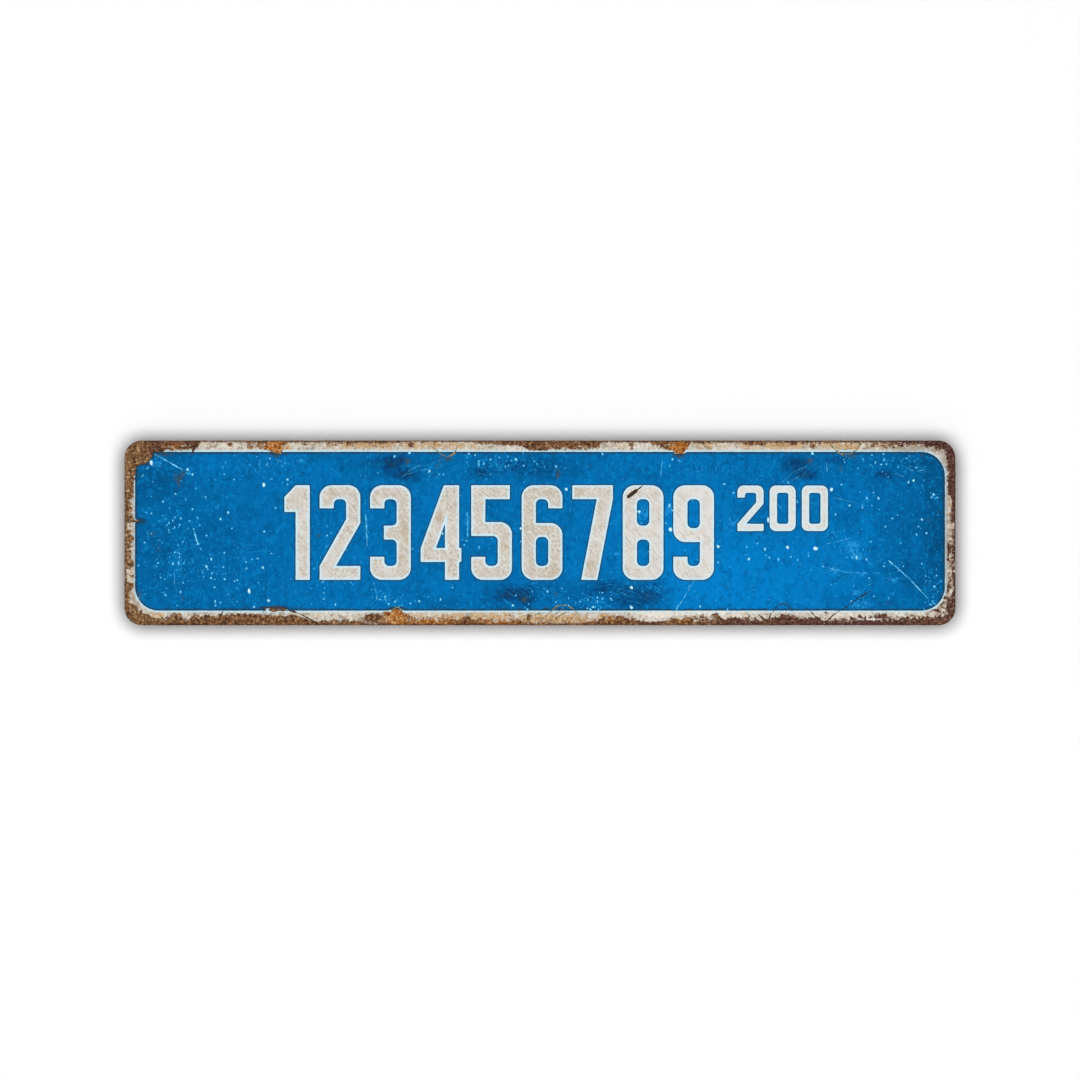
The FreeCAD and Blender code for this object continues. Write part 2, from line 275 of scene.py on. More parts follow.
# Chips that show the pale coat through the blue: column, row and radius, to which
# build_pale_chips adds a tenth of a pixel.
PALE_CHIPS = (
    (150.8, 462.3, 2.3), (263.3, 484.4, 2), (248.6, 590.7, 2.2), (322.7, 574.8, 2.6),
    (521, 527.8, 2.3), (565.8, 488.7, 1.9), (670, 529, 2.6), (696, 540.4, 2), (815, 548, 2.7),
    (768, 519.4, 2.4), (631, 587, 2), (631, 607, 1.9), (787, 546.8, 1.9), (812, 453, 1.6),
    (409, 452.5, 1.5), (187, 469, 1.6), (717.7, 546, 1.8), (748.4, 558.6, 1.6),
    (764.5, 548.6, 1.4), (778, 558.8, 1.2), (192, 474, 1.3), (287, 479, 1.4), (287, 484, 1),
    (175, 493.4, 1.2), (162.5, 501, 1.2), (227.6, 512, 1.4), (220, 518.5, 1.4),
    (179, 524.4, 1.1), (174, 527, 1.1), (172.3, 563.3, 1.4), (178, 562.8, 1.2),
    (210.7, 558.5, 1.3), (206, 566, 1.5), (210.4, 577.4, 1.3), (224, 578.6, 1.2),
    (165, 594.6, 1.2), (214.7, 601, 1.3), (220, 602, 1), (215, 605, 1.1), (262.4, 567, 1.5),
    (257, 558, 1.1), (246, 568, 1.1), (271, 553, 1), (268, 600, 1.8), (326.5, 535, 1.1),
    (331, 550, 1.3), (144, 542, 1.1), (138, 565, 1), (429, 470.6, 1.5), (474.5, 454.6, 1.1),
    (478.3, 460.8, 1.2), (478.3, 463.7, 1.2), (483.5, 463.2, 1.1), (490, 459, 1.2),
    (515.5, 459, 1.5), (508, 465, 1), (555.5, 466, 1.3), (442, 533, 1.5), (504, 555, 1.2),
    (547, 591, 1.2), (561.5, 588, 1), (512.4, 605, 1.5), (527, 609, 1.2), (597, 597, 1.1),
    (602, 598, 1), (597, 601, 1), (831, 489, 2.1), (778, 491.5, 1.4), (794, 494, 1),
    (880.8, 464, 1.2), (875, 462, 1.1), (913, 480, 1.6), (908, 481.6, 1.3), (878, 497.7, 1.4),
    (892, 518, 1.1), (921.4, 519, 1.4), (926, 532.6, 1.3), (916, 534, 1.1), (727, 609, 1),
    (638.5, 511, 1.9), (335, 604, 1.2), (410, 603, 1.1), (379, 560, 1.4), (440, 599, 1.2),
    (345, 549, 1.6), (669, 505, 1.6), (672, 510, 1.3), (933, 494, 1.5), (841, 484, 1.2),
    (936, 575, 1.1), (934, 586, 1.3), (930, 604, 1.1), (590, 609, 1.4), (598, 609, 1),
    (849, 505, 1.3), (856, 557, 1.6), (757, 543, 1), (700, 497, 1.4), (655, 507, 1.4),
    (866, 559, 1.2), (866.3, 497.6, 1.2), (862, 507, 1.1), (835, 514, 1.1), (825.6, 519, 1),
    (192, 508.7, 1.1), (197, 517.4, 1), (189, 520.4, 1), (206, 535, 1.1), (151, 513, 1.1),
    (145.8, 512, 0.9), (233.5, 479, 1), (263.7, 531, 1.3), (275, 507.4, 1.1), (269.4, 458, 1.1),
    (253.6, 606.4, 1.3), (157.5, 562.6, 1.1), (180, 591.4, 1.2), (222.8, 566.6, 1.1),
    (234, 580.7, 1), (214, 586.7, 1.1), (394, 456, 1.3), (438.8, 474, 0.9), (443, 474, 1),
    (468.3, 453.4, 1.2), (723.8, 483.6, 1.3), (733, 492.3, 1.2), (717.8, 562, 1.1),
    (602, 453.6, 1.2), (672, 458.8, 1.3), (699.7, 606, 1.2), (592.6, 606.5, 1.5),
    (586.8, 607.8, 1.1), (388, 603.4, 1.2), (394.6, 601, 1.2), (384.6, 596, 1.1),
    (418.7, 600.7, 1.3), (379.5, 599, 1), (197.4, 543, 1.4), (871.5, 454.5, 1),
    (883, 453.5, 1.1), (886, 463.6, 1.1), (884, 458.6, 1), (931, 497, 1.1), (937, 497, 1),
)

# Where small pale chips crowd: centre column and row, spreads, and a number that
# build_pale_chips multiplies by its crowding.
CHIP_CROWDS = (
    (178, 525, 20, 22, 40), (215, 572, 26, 20, 50), (165, 570, 18, 22, 34),
    (250, 480, 26, 16, 16), (325, 560, 12, 22, 22), (500, 462, 22, 6, 34),
    (485, 530, 12, 26, 22), (650, 512, 20, 9, 40), (605, 600, 14, 8, 18),
    (690, 545, 26, 18, 14), (765, 555, 24, 14, 14), (890, 500, 34, 22, 26),
    (865, 560, 22, 14, 34), (935, 590, 8, 14, 26), (840, 590, 26, 14, 12),
    (400, 600, 22, 7, 14), (345, 590, 24, 12, 12), (540, 545, 60, 40, 22),
    (880, 465, 26, 6, 22), (560, 600, 26, 7, 16), (790, 490, 20, 8, 12),
)

# Pale scratches: half width in millimetres, then the places that each runs through.
PALE_SCRATCHES = (
    (0.34, (154, 453.5), (160, 456.8), (170, 462.6), (182, 469.2)),
    (0.13, (186, 468), (192, 466)),
    (0.13, (181, 470), (187, 473), (192, 475)),
    (0.52, (193.5, 530.5), (195, 536), (197.5, 543.5)),
    (0.26, (365, 513), (366, 528), (366.6, 545.5)),
    (0.15, (701.5, 563), (697, 572), (692, 583), (683, 598), (675, 611)),
    (0.2, (689, 584), (686.5, 589)),
    (0.16, (679, 602), (675, 609)),
    (0.3, (888, 560), (899, 569), (907, 577)),
    (0.26, (906, 575), (917, 587), (928, 598.5)),
    (0.24, (931, 600), (933.5, 603.5), (936.5, 604.6)),
    (0.1, (824, 544), (836, 541), (850, 538)),
    (0.22, (275.4, 458), (278.4, 461.4)),
    (0.17, (259.8, 459.5), (258.8, 465)),
    (0.17, (267, 462), (265.8, 466.5)),
    (0.26, (140.4, 476.8), (143.8, 473.2)),
    (0.26, (145.6, 468.8), (148.4, 466.2)),
    (0.14, (427, 471), (429, 474)),
    (0.08, (400, 478), (409, 470), (420, 464)),
    (0.08, (404, 475), (417, 470), (432, 468)),
    (0.2, (466.6, 511), (467.2, 528), (467, 538)),
    (0.12, (620, 508), (626, 513)),
    (0.12, (632, 507), (640, 514), (636, 521)),
    (0.13, (662.5, 460.5), (661, 466), (660, 476)),
    (0.17, (669.8, 463), (668.6, 467.5)),
    (0.22, (677, 459), (680.6, 461.6)),
    (0.1, (790, 481), (800, 475)),
    (0.08, (780, 483), (794, 471), (806, 466)),
    (0.14, (826, 462), (827, 472)),
    (0.11, (893, 473), (904, 476)),
    (0.11, (833, 497), (842, 499), (856, 503)),
    (0.08, (908, 468), (916, 471), (925, 469)),
    (0.1, (849, 546), (855, 556), (861, 562)),
    (0.09, (825, 566), (833, 569), (848, 572), (866, 573)),
    (0.12, (885, 577), (893, 581)),
    (0.13, (373, 581), (377, 600)),
    (0.17, (383.6, 595.5), (386.2, 602)),
    (0.17, (392.5, 603.5), (396.6, 599.6)),
    (0.08, (268, 585), (268, 603)),
    (0.08, (174, 570), (174, 586)),
)

# Fields of hairlines: centre column and row, spreads, lean in degrees, length and number.
HAIRLINES = (
    (425, 468, 16, 6, 22, 26, 10), (440, 470, 14, 6, 12, 22, 7), (505, 463, 26, 7, 60, 14, 12),
    (520, 467, 26, 6, -40, 12, 11), (500, 472, 22, 5, -12, 20, 7),
    (590, 470, 36, 9, 80, 12, 12), (640, 592, 28, 7, -22, 26, 14),
    (655, 600, 22, 6, -28, 22, 10), (608, 590, 20, 6, 8, 18, 8), (612, 604, 24, 4, -20, 16, 7),
    (520, 592, 16, 7, -28, 20, 8), (505, 598, 12, 6, -40, 14, 5), (575, 598, 26, 8, -15, 22, 7),
    (800, 470, 18, 7, 32, 24, 11), (825, 468, 16, 8, 85, 10, 7), (860, 466, 28, 8, 40, 12, 12),
    (850, 470, 28, 7, -30, 14, 10), (905, 470, 20, 7, -20, 16, 8),
    (845, 560, 24, 16, -14, 22, 7), (865, 550, 18, 12, 50, 12, 9),
    (880, 578, 14, 6, -25, 12, 6), (925, 560, 9, 34, 85, 16, 10), (930, 588, 7, 12, -50, 12, 5),
    (160, 462, 9, 6, -45, 12, 8), (160, 464, 9, 6, 40, 10, 5), (185, 471, 9, 5, 20, 10, 5),
    (178, 545, 12, 44, 88, 22, 9), (225, 560, 36, 26, 70, 12, 8), (285, 466, 18, 10, 80, 12, 7),
    (345, 530, 9, 18, 88, 16, 5), (480, 530, 12, 24, 85, 14, 7), (640, 512, 22, 9, -35, 10, 12),
    (655, 515, 16, 9, 30, 10, 8), (755, 470, 36, 9, 85, 14, 9), (700, 470, 24, 8, 70, 12, 7),
    (740, 590, 70, 12, -80, 16, 7), (390, 596, 20, 9, 70, 10, 7), (250, 600, 24, 7, 60, 12, 5),
    (835, 600, 34, 7, -20, 20, 7), (610, 540, 90, 36, -30, 30, 12),
    (400, 530, 90, 36, 60, 20, 8),
)

# Cracks through the enamel, brown where rust has crept in, given as the scratches are.
DARK_CRACKS = (
    (0.66, (197, 441), (194.5, 446), (191, 454)),
    (0.34, (169.5, 446), (169, 451.5)),
    (0.3, (126, 519), (131, 520.5), (138, 521)),
    (0.34, (160, 615), (163, 619.5), (167, 616)),
    (0.34, (219, 618), (221.5, 612.5), (223, 609.5)),
    (0.42, (286, 609.5), (296, 612), (307, 617), (318, 624)),
    (0.34, (262, 613), (266, 606.5)),
    (0.3, (266, 607), (275, 605.5), (287, 609)),
    (0.26, (455, 450), (458, 443)),
    (0.4, (809.5, 610), (813, 614.5), (820, 620)),
    (0.4, (757, 613), (764, 619), (769, 622)),
    (0.44, (826, 621), (832, 615), (838, 611)),
    (0.36, (771, 612), (768, 620)),
    (0.22, (838, 443), (840, 446)),
    (0.34, (746, 612), (750, 617)),
    (0.3, (886, 611), (884, 615)),
)
GRIMY_CRACKS = (
    (0.44, (772, 612), (776, 606), (782, 602.5), (787, 605), (792, 611)),
    (0.44, (838, 611), (849, 604.5), (857, 598), (871, 590)),
    (0.22, (792, 497), (799, 498)),
    (0.22, (797, 562), (802, 561)),
    (0.2, (428, 443), (433, 448)),
)
OCHRE_CRACKS = (
    (0.46, (829, 443), (834, 449), (841, 454), (850, 453), (857, 449), (860, 443)),
    (0.42, (432, 446), (440, 453.5), (447, 456.5), (454, 453), (457, 446)),
    (0.32, (538, 624), (543, 617), (552, 609.5)),
    (0.32, (573, 608.5), (578, 614), (581, 622)),
    (0.4, (552, 609.5), (557, 605), (566, 604.5), (573, 608.5)),
    (0.26, (527, 620), (533, 615), (541, 612)),
    (0.26, (556, 618), (562, 613), (569, 611)),
    (0.26, (548, 622), (554, 614), (563, 608)),
    (0.22, (833, 446), (842, 449), (852, 448)),
    (0.24, (371, 441.5), (377, 447), (381, 450)),
    (0.2, (700, 441.5), (705, 446), (712, 449)),
    (0.26, (390, 612), (396, 606), (403, 610)),
)
# fmt: on


# Colours, given as sRGB and turned to linear in one place.
def colour(code):
    """The linear colour for an sRGB hex code, with full cover."""
    channels = [int(code[start : start + 2], 16) / 255 for start in (1, 3, 5)]
    linear = [
        c / 12.92 if c <= 0.04045 else ((c + 0.055) / 1.055) ** 2.4 for c in channels
    ]
    return (*linear, 1.0)


def scaled(tint, share):
    """A lighter or darker version of a colour, each channel multiplied."""
    return (*(min(1.0, channel * share) for channel in tint[:3]), 1.0)


# Random but repeatable unevenness.
def hills(x, z, size, seed):
    """Smooth random hills, from -1 to 1, about one size across.

    Random heights stand on a square lattice, and between four of them the height is
    their mean, weighted by a curve that leaves each lattice point level.
    """
    columns, rows = 512, 256
    lattice = np.random.default_rng(seed).uniform(-1.0, 1.0, (columns, rows))
    # The shifts put the sign's centre inside a cell, off the lattice's own lines.
    u = np.asarray(x) / size + 97.3
    v = np.asarray(z) / size + 51.7
    i = np.floor(u).astype(int)
    j = np.floor(v).astype(int)
    a = u - i
    b = v - j
    a = a * a * (3 - 2 * a)
    b = b * b * (3 - 2 * b)

    def height(di, dj):
        return lattice[(i + di) % columns, (j + dj) % rows]

    near = height(0, 0) * (1 - a) + height(1, 0) * a
    far = height(0, 1) * (1 - a) + height(1, 1) * a
    return near * (1 - b) + far * b


def rough(x, z, size, seed, layers=3):
    """Hills with smaller hills on them, each layer half as wide and 0.6 as high."""
    total = 0.0
    reach = 0.0
    for layer in range(layers):
        share = 0.6**layer
        total = total + share * hills(x, z, size / 2**layer, seed + layer)
        reach += share
    return total / reach


def patches(x, z, places):
    """Soft patches added together: each fades from its centre as exp(-r squared), r
    being the distance counted in half widths and half heights."""
    total = np.zeros(np.shape(x))
    for px, py, half_wide, half_tall, strength in places:
        r2 = ((x - across(px)) / (half_wide * PIXEL)) ** 2
        r2 = r2 + ((z - up(py)) / (half_tall * PIXEL)) ** 2
        total = total + strength * np.exp(-r2)
    return total


def spots(x, z, places):
    """Distance into the nearest of some oval spots, positive inside: one minus r, times
    the smaller half size."""
    best = np.full(np.shape(x), -1.0)
    for px, py, half_wide, half_tall in places:
        a = half_wide * PIXEL
        b = half_tall * PIXEL
        r = np.hypot((x - across(px)) / a, (z - up(py)) / b)
        best = np.maximum(best, (1 - r) * min(a, b))
    return best


def inside_box(x, z, left, right, low, high, radius=0.0):
    """Distance into a rectangle with round corners, positive inside.

    The point is folded into one quarter and measured from the centre of its corner's
    arc: the radius minus the part that sticks out beyond that centre.
    """
    qx = np.abs(x - (left + right) / 2) - ((right - left) / 2 - radius)
    qz = np.abs(z - (low + high) / 2) - ((high - low) / 2 - radius)
    out = np.hypot(np.maximum(qx, 0), np.maximum(qz, 0))
    return radius - out - np.minimum(np.maximum(qx, qz), 0)


class Outline:
    """The sheet's outline as a path, counterclockwise as the reader sees it.

    It starts at the left end of the lower side and goes side, corner, side, corner.
    """

    def __init__(self, sizes):
        self.half_x = sizes.sheet_length / 2
        self.half_z = sizes.sheet_height / 2
        self.radius = sizes.corner_radius
        self.run_x = self.half_x - self.radius
        self.run_z = self.half_z - self.radius
        arc = self.radius * math.pi / 2
        self.lengths = np.array([2 * self.run_x, arc, 2 * self.run_z, arc] * 2)
        self.starts = np.concatenate([[0.0], np.cumsum(self.lengths)[:-1]])
        self.total = self.lengths.sum()

    def depth(self, x, z):
        """Distance in from the outline."""
        return inside_box(
            x, z, -self.half_x, self.half_x, -self.half_z, self.half_z, self.radius
        )

    def point(self, s, inset, radius):
        """The place at length s, carried to a smaller rectangle inside the outline.

        Straight parts go to straight parts and arcs to arcs, each by its share of the
        part: a corner's centre slides along the side, and then the radius turns.
        """
        s = np.mod(s, self.total)
        part = np.searchsorted(self.starts, s, side="right") - 1
        share = (s - self.starts[part]) / self.lengths[part]
        side = part // 2
        arc = part % 2 == 1
        slid = np.where(arc, 1.0, share)
        turned = np.where(arc, share, 0.0)
        cx = (self.half_x - inset - radius) * np.array([-1, 1, 1, -1, -1])
        cz = (self.half_z - inset - radius) * np.array([-1, -1, 1, 1, -1])
        x = cx[side] + (cx[side + 1] - cx[side]) * slid
        z = cz[side] + (cz[side + 1] - cz[side]) * slid
        angle = (side + turned - 1) * math.pi / 2
        return x + radius * np.cos(angle), z + radius * np.sin(angle)

    def ruled(self, s, inset, deepest, inner_radius):
        """Places on straight lines between the outline and a smaller one inside it."""
        x0, z0 = self.point(s, 0.0, self.radius)
        x1, z1 = self.point(s, deepest, inner_radius)
        share = inset / deepest
        return x0 + (x1 - x0) * share, z0 + (z1 - z0) * share

    def station(self, x, z):
        """Length along the outline of the place nearest to each point."""
        core_x = np.clip(x, -self.run_x, self.run_x)
        core_z = np.clip(z, -self.run_z, self.run_z)
        gaps = (self.half_z + z, self.half_x - x, self.half_z - z, self.half_x + x)
        side = np.argmin(np.stack(gaps), axis=0)
        runs = (
            core_x + self.run_x,
            core_z + self.run_z,
            self.run_x - core_x,
            self.run_z - core_z,
        )
        s = self.starts[2 * side] + np.choose(side, runs)
        quarter = np.mod(np.arctan2(z - core_z, x - core_x) / (math.pi / 2) + 1, 4)
        corner = np.clip(np.floor(quarter).astype(int), 0, 3)
        on_arc = self.starts[2 * corner + 1] + (quarter - corner) * self.lengths[1]
        in_corner = (np.abs(x) > self.run_x) & (np.abs(z) > self.run_z)
        return np.where(in_corner, on_arc, s)

    def around(self, bottom, right, top, left):
        """Readings along the four sides, as one curve of the length along the outline."""
        runs = (
            (bottom, lambda p: across(p) + self.run_x),
            (right, lambda p: up(p) + self.run_z),
            (top, lambda p: self.run_x - across(p)),
            (left, lambda p: self.run_z - up(p)),
        )
        places = []
        for side, (readings, run) in enumerate(runs):
            for place, value in readings:
                places.append((self.starts[2 * side] + run(place), value * PIXEL))
        places.sort()
        at, values = np.array(places).T
        return lambda s: np.interp(s, at, values, period=self.total)


def blue_box(x, z, sizes):
    """Distance into the blue field's own rounded rectangle."""
    return inside_box(
        x,
        z,
        -sizes.sheet_length / 2 + sizes.side_margin,
        sizes.sheet_length / 2 - sizes.side_margin,
        -sizes.sheet_height / 2 + sizes.bottom_margin,
        sizes.sheet_height / 2 - sizes.top_margin,
        sizes.field_radius,
    )


def coat_left(edge, x, z):
    """Distance into what is left of the cream coat, negative where it has sprung off.

    It is the depth from the outline less the rust's reach there, made ragged by two
    sizes of hills. Where the border is speckled, small hollows of bare steel and small
    crumbs of coat come on top. Rust that eats through takes from it, stray flecks add
    to it, and bare spots take from it again.
    """
    rust = edge.around(RUST_BOTTOM, RUST_RIGHT, RUST_TOP, RUST_LEFT)
    wander = 0.7 * MM * rough(x, z, 6 * MM, 41)
    reach = rust(edge.station(x + wander, z + wander))
    wild = np.clip(reach / (3 * MM), 0.35, 1.0)
    fine = (1.0 + 1.3 * patches(x, z, CRUMBLING)) * MM * hills(x, z, 1.1 * MM, 61)
    field = edge.depth(x, z) - reach + wild * (0.6 * MM * rough(x, z, 2.6 * MM, 51) + fine)
    out_of_reach = 2.5 * (1 - np.clip(1.6 * patches(x, z, SPECKLED), 0, 1))
    hollows = (hills(x, z, 1.25 * MM, 201) + 0.34 + out_of_reach) * MM
    crumbs = (hills(x, z, 1.15 * MM, 211) - 0.52 - out_of_reach) * MM
    field = np.maximum(np.minimum(field, hollows), crumbs)
    ragged = 0.9 * MM * rough(x, z, 2 * MM, 71)
    field = np.minimum(field, ragged - spots(x, z, THROUGH_RUST))
    field = np.maximum(field, ragged + spots(x, z, CREAM_FLECKS))
    return np.minimum(field, ragged - spots(x, z, BARE_SPOTS))


# Meshes.
def add_piece(name, points, faces, materials, attributes, smooth, slots=None):
    """Puts worked-out points and faces into a mesh that rides with the sign."""
    mesh = bpy.data.meshes.new(name)
    mesh.from_pydata(points, [], faces)
    mesh.polygons.foreach_set("use_smooth", smooth)
    for material in materials:
        mesh.materials.append(material)
    if slots is not None:
        mesh.polygons.foreach_set("material_index", slots)
    for label, values in attributes.items():
        layer = mesh.attributes.new(label, "FLOAT", "POINT")
        layer.data.foreach_set("value", np.asarray(values, np.float32))
    mesh.update()
    piece = bpy.data.objects.new(name, mesh)
    bpy.context.scene.collection.objects.link(piece)
    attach(piece, BODY)
    return piece


def cell_outline(case):
    """The part of a grid cell that is inside, as a list of slots in order.

    Bit k of the case says that corner k is inside. Going round the cell, a corner that
    is inside is taken, and so is the crossing 4 + k where the side after it changes.
    """
    inside = [bool(case >> k & 1) for k in range(4)]
    slots = []
    for k in range(4):
        if inside[k]:
            slots.append(k)
        if inside[k] != inside[(k + 1) % 4]:
            slots.append(4 + k)
    return slots


def film(name, x, z, field, front, foot, material, attributes=None, closed=False):
    """A thin coat, present wherever the field is positive, with upright walls.

    x, z, field and front are arrays over one grid of two parameters, so the front is
    the surface (x, -front, z). The outline runs where the field crosses zero, found on
    each grid line by straight proportion, and everything on the grid is carried to
    that crossing in the same proportion. The flat underside repeats the outline at the
    foot. A closed grid joins its last column to its first.
    """
    n, m = field.shape
    count = n * m
    kept = field > 0
    along_n = np.arange(n if closed else n - 1)
    i0, j0 = np.meshgrid(along_n, np.arange(m - 1), indexing="ij")
    i1 = (i0 + 1) % n
    j1 = j0 + 1
    nodes = [i0 * m + j0, i1 * m + j0, i1 * m + j1, i0 * m + j1]
    crossings = [
        count + i0 * m + j0,
        2 * count + i1 * m + j0,
        count + i0 * m + j1,
        2 * count + i0 * m + j0,
    ]
    ids = np.stack(nodes + crossings).reshape(8, -1)
    flags = np.stack([kept.ravel()[node] for node in nodes]).reshape(4, -1)
    cases = (flags * np.array([[1], [2], [4], [8]])).sum(axis=0)

    shares = []
    for axis in (0, 1):
        after = np.roll(field, -1, axis=axis)
        changes = (field > 0) != (after > 0)
        step = np.where(changes, field - after, 1.0)
        shares.append(np.where(changes, field / step, 0.0))

    def everywhere(values):
        """Values at the grid points, then at the crossings of both kinds of line."""
        parts = [values.ravel()]
        for axis in (0, 1):
            after = np.roll(values, -1, axis=axis)
            parts.append((values + shares[axis] * (after - values)).ravel())
        return np.concatenate(parts)

    fronts = []
    rims = []
    for case in range(1, 16):
        cells = np.flatnonzero(cases == case)
        if not len(cells):
            continue
        slots = cell_outline(case)
        fronts.append(ids[slots][:, cells].T)
        for a, b in zip(slots, slots[1:] + slots[:1]):
            if a > 3 and b > 3:
                rims.append(ids[[a, b]][:, cells].T)
    used = np.unique(np.concatenate([block.ravel() for block in fronts]))
    renumber = np.zeros(3 * count, int)
    renumber[used] = np.arange(len(used))
    front_faces = [face for block in fronts for face in renumber[block].tolist()]
    back_faces = [[v + len(used) for v in reversed(face)] for face in front_faces]
    rim = renumber[np.concatenate(rims)]
    a, b = rim[:, 0], rim[:, 1]
    walls = np.column_stack([b, a, a + len(used), b + len(used)]).tolist()

    px = everywhere(x)[used]
    pz = everywhere(z)[used]
    py = -everywhere(front)[used]
    top = np.column_stack([px, py, pz])
    bottom = np.column_stack([px, np.full(len(px), -foot), pz])
    extra = {}
    for label, values in (attributes or {}).items():
        extra[label] = np.tile(everywhere(values)[used], 2)
    faces = front_faces + back_faces + walls
    smooth = np.zeros(len(faces), bool)
    smooth[: len(front_faces)] = True
    points = np.concatenate([top, bottom])
    add_piece(name, points, faces, [material], extra, smooth)


def coat_height(x, z, sizes):
    """Front of the coat at a place: the blue's in its field, the cream's outside it."""
    return np.where(blue_box(x, z, sizes) > 0, BLUE_FRONT, CREAM_FRONT)


def rod_faces(start, count, rows):
    """Faces of a closed profile carried along a path: its quads, then both end caps."""
    ring = start + rows * np.arange(count - 1)[:, None]
    faces = []
    for k in range(rows):
        after = (k + 1) % rows
        faces += (ring + [[k, after, rows + after, rows + k]]).tolist()
    faces.append([start + k for k in reversed(range(rows))])
    faces.append([start + rows * (count - 1) + k for k in range(rows)])
    return faces


def ribbons(name, tracks, sizes, material, seed, spacing=0.5 * MM, shake=0.04 * MM,
            rise=MARK_RISE):  # fmt: skip
    """Fine lines that stand slightly proud, one along each track.

    The track's places are joined, its corners eased by averaging neighbours, and the
    line carries a four-point profile: left foot, keel, right foot and crest. Its half
    width swells and thins at random and runs out to nearly nothing at both ends.
    """
    rng = np.random.default_rng(seed)
    knot_spacing = 1.3 * MM
    run_out = 1.5 * MM
    sunk = 0.01 * MM
    points = []
    faces = []
    start = 0
    for half_width, *places in tracks:
        px, py = np.array(places, float).T
        x, z = across(px), up(py)
        reach = np.concatenate([[0.0], np.cumsum(np.hypot(np.diff(x), np.diff(z)))])
        count = max(6, int(reach[-1] / spacing))
        s = np.linspace(0.0, reach[-1], count)
        x = np.interp(s, reach, x)
        z = np.interp(s, reach, z)
        for _ in range(4):
            x[1:-1] = (x[:-2] + 2 * x[1:-1] + x[2:]) / 4
            z[1:-1] = (z[:-2] + 2 * z[1:-1] + z[2:]) / 4
        x = x + shake * rng.normal(size=count)
        z = z + shake * rng.normal(size=count)
        dx, dz = np.gradient(x), np.gradient(z)
        length = np.hypot(dx, dz)
        nx, nz = -dz / length, dx / length
        taper = np.sqrt(np.clip(np.minimum(s, reach[-1] - s) / run_out, 0, 1))
        knots = np.linspace(0.0, reach[-1], 3 + int(reach[-1] / knot_spacing))
        beads = np.interp(s, knots, rng.random(knots.size) ** 1.5)
        width = half_width * MM * (0.30 + 1.4 * beads) * (0.15 + 0.85 * taper)
        top = coat_height(x, z, sizes)
        foot = -(top - sunk)
        left = np.column_stack([x + nx * width, foot, z + nz * width])
        keel = np.column_stack([x, np.full(count, -COAT_FOOT), z])
        right = np.column_stack([x - nx * width, foot, z - nz * width])
        crest = np.column_stack([x, -(top + rise), z])
        points.append(np.stack([left, keel, right, crest], axis=1).reshape(-1, 3))
        faces += rod_faces(start, count, 4)
        start += 4 * count
    flat = [False] * len(faces)
    add_piece(name, np.concatenate(points), faces, [material], {}, flat)


def domes(name, x, z, radius, sizes, material, seed):
    """Low round bumps: an outer ring, a ring at 0.6 of it and a top, on a flat underside.

    Each outline is a circle whose radius wavers by two and three times the angle, drawn
    out upright by its own share. The attribute "middle" rises to the top, and rises
    less on a small bump.
    """
    rng = np.random.default_rng(seed)
    sides = 12
    count = len(x)
    turn = np.linspace(0, 2 * math.pi, sides, endpoint=False)[None, :]
    phase = rng.uniform(0, 2 * math.pi, (2, count, 1))
    waver = 1 + 0.13 * np.cos(2 * turn + phase[0]) + 0.08 * np.cos(3 * turn + phase[1])
    reach = radius[:, None] * waver
    drawn = 0.9 + 0.7 * rng.random((count, 1)) ** 2
    sunk = 0.02 * MM
    rise = 0.045 * MM
    floor = coat_height(x, z, sizes) - sunk
    crest = floor + rise
    rings = []
    for share, height in ((1.0, floor), (0.6, floor + 0.75 * (crest - floor))):
        rx = x[:, None] + share * reach * np.cos(turn) / np.sqrt(drawn)
        rz = z[:, None] + share * reach * np.sin(turn) * drawn
        rings.append(np.stack([rx, -height[:, None] + 0 * rx, rz], axis=2))
    tops = np.stack([x, -crest, z], axis=1)[:, None, :]
    points = np.concatenate([*rings, tops], axis=1).reshape(-1, 3)
    each = 2 * sides + 1
    base = each * np.arange(count)[:, None]
    faces = []
    for k in range(sides):
        after = (k + 1) % sides
        faces += (base + [[k, after, sides + after, sides + k]]).tolist()
        faces += (base + [[sides + k, sides + after, 2 * sides]]).tolist()
    faces += (base + [list(range(sides))[::-1]]).tolist()
    large = np.clip(radius / (2.1 * PIXEL), 0.26, 1.0)[:, None]
    middle = (large * np.repeat([0.25, 0.75, 1.0], [sides, sides, 1])).ravel()
    smooth = [True] * (2 * sides * count) + [False] * count
    add_piece(name, points, faces, [material], {"middle": middle}, smooth)


# Materials.
COLOUR_A = 6
COLOUR_B = 7


def add_node(tree, kind, sockets=None, stops=(), **properties):
    """One node with its properties and colour stops, then each of its sockets.

    A socket takes a number, a vector, a colour as a hex code, another node's first
    output in use, or one output of another node.
    """
    node = tree.nodes.new(kind)
    for name, value in properties.items():
        setattr(node, name, value)
    for index, (place, code) in enumerate(stops):
        if index >= len(node.color_ramp.elements):
            node.color_ramp.elements.new(1.0)
        node.color_ramp.elements[index].position = place
        node.color_ramp.elements[index].color = code if len(code) == 4 else colour(code)
    for socket, value in (sockets or {}).items():
        if isinstance(value, bpy.types.Node):
            value = next(output for output in value.outputs if output.enabled)
        if isinstance(value, bpy.types.NodeSocket):
            tree.links.new(value, node.inputs[socket])
        else:
            value = colour(value) if isinstance(value, str) else value
            node.inputs[socket].default_value = value
    return node


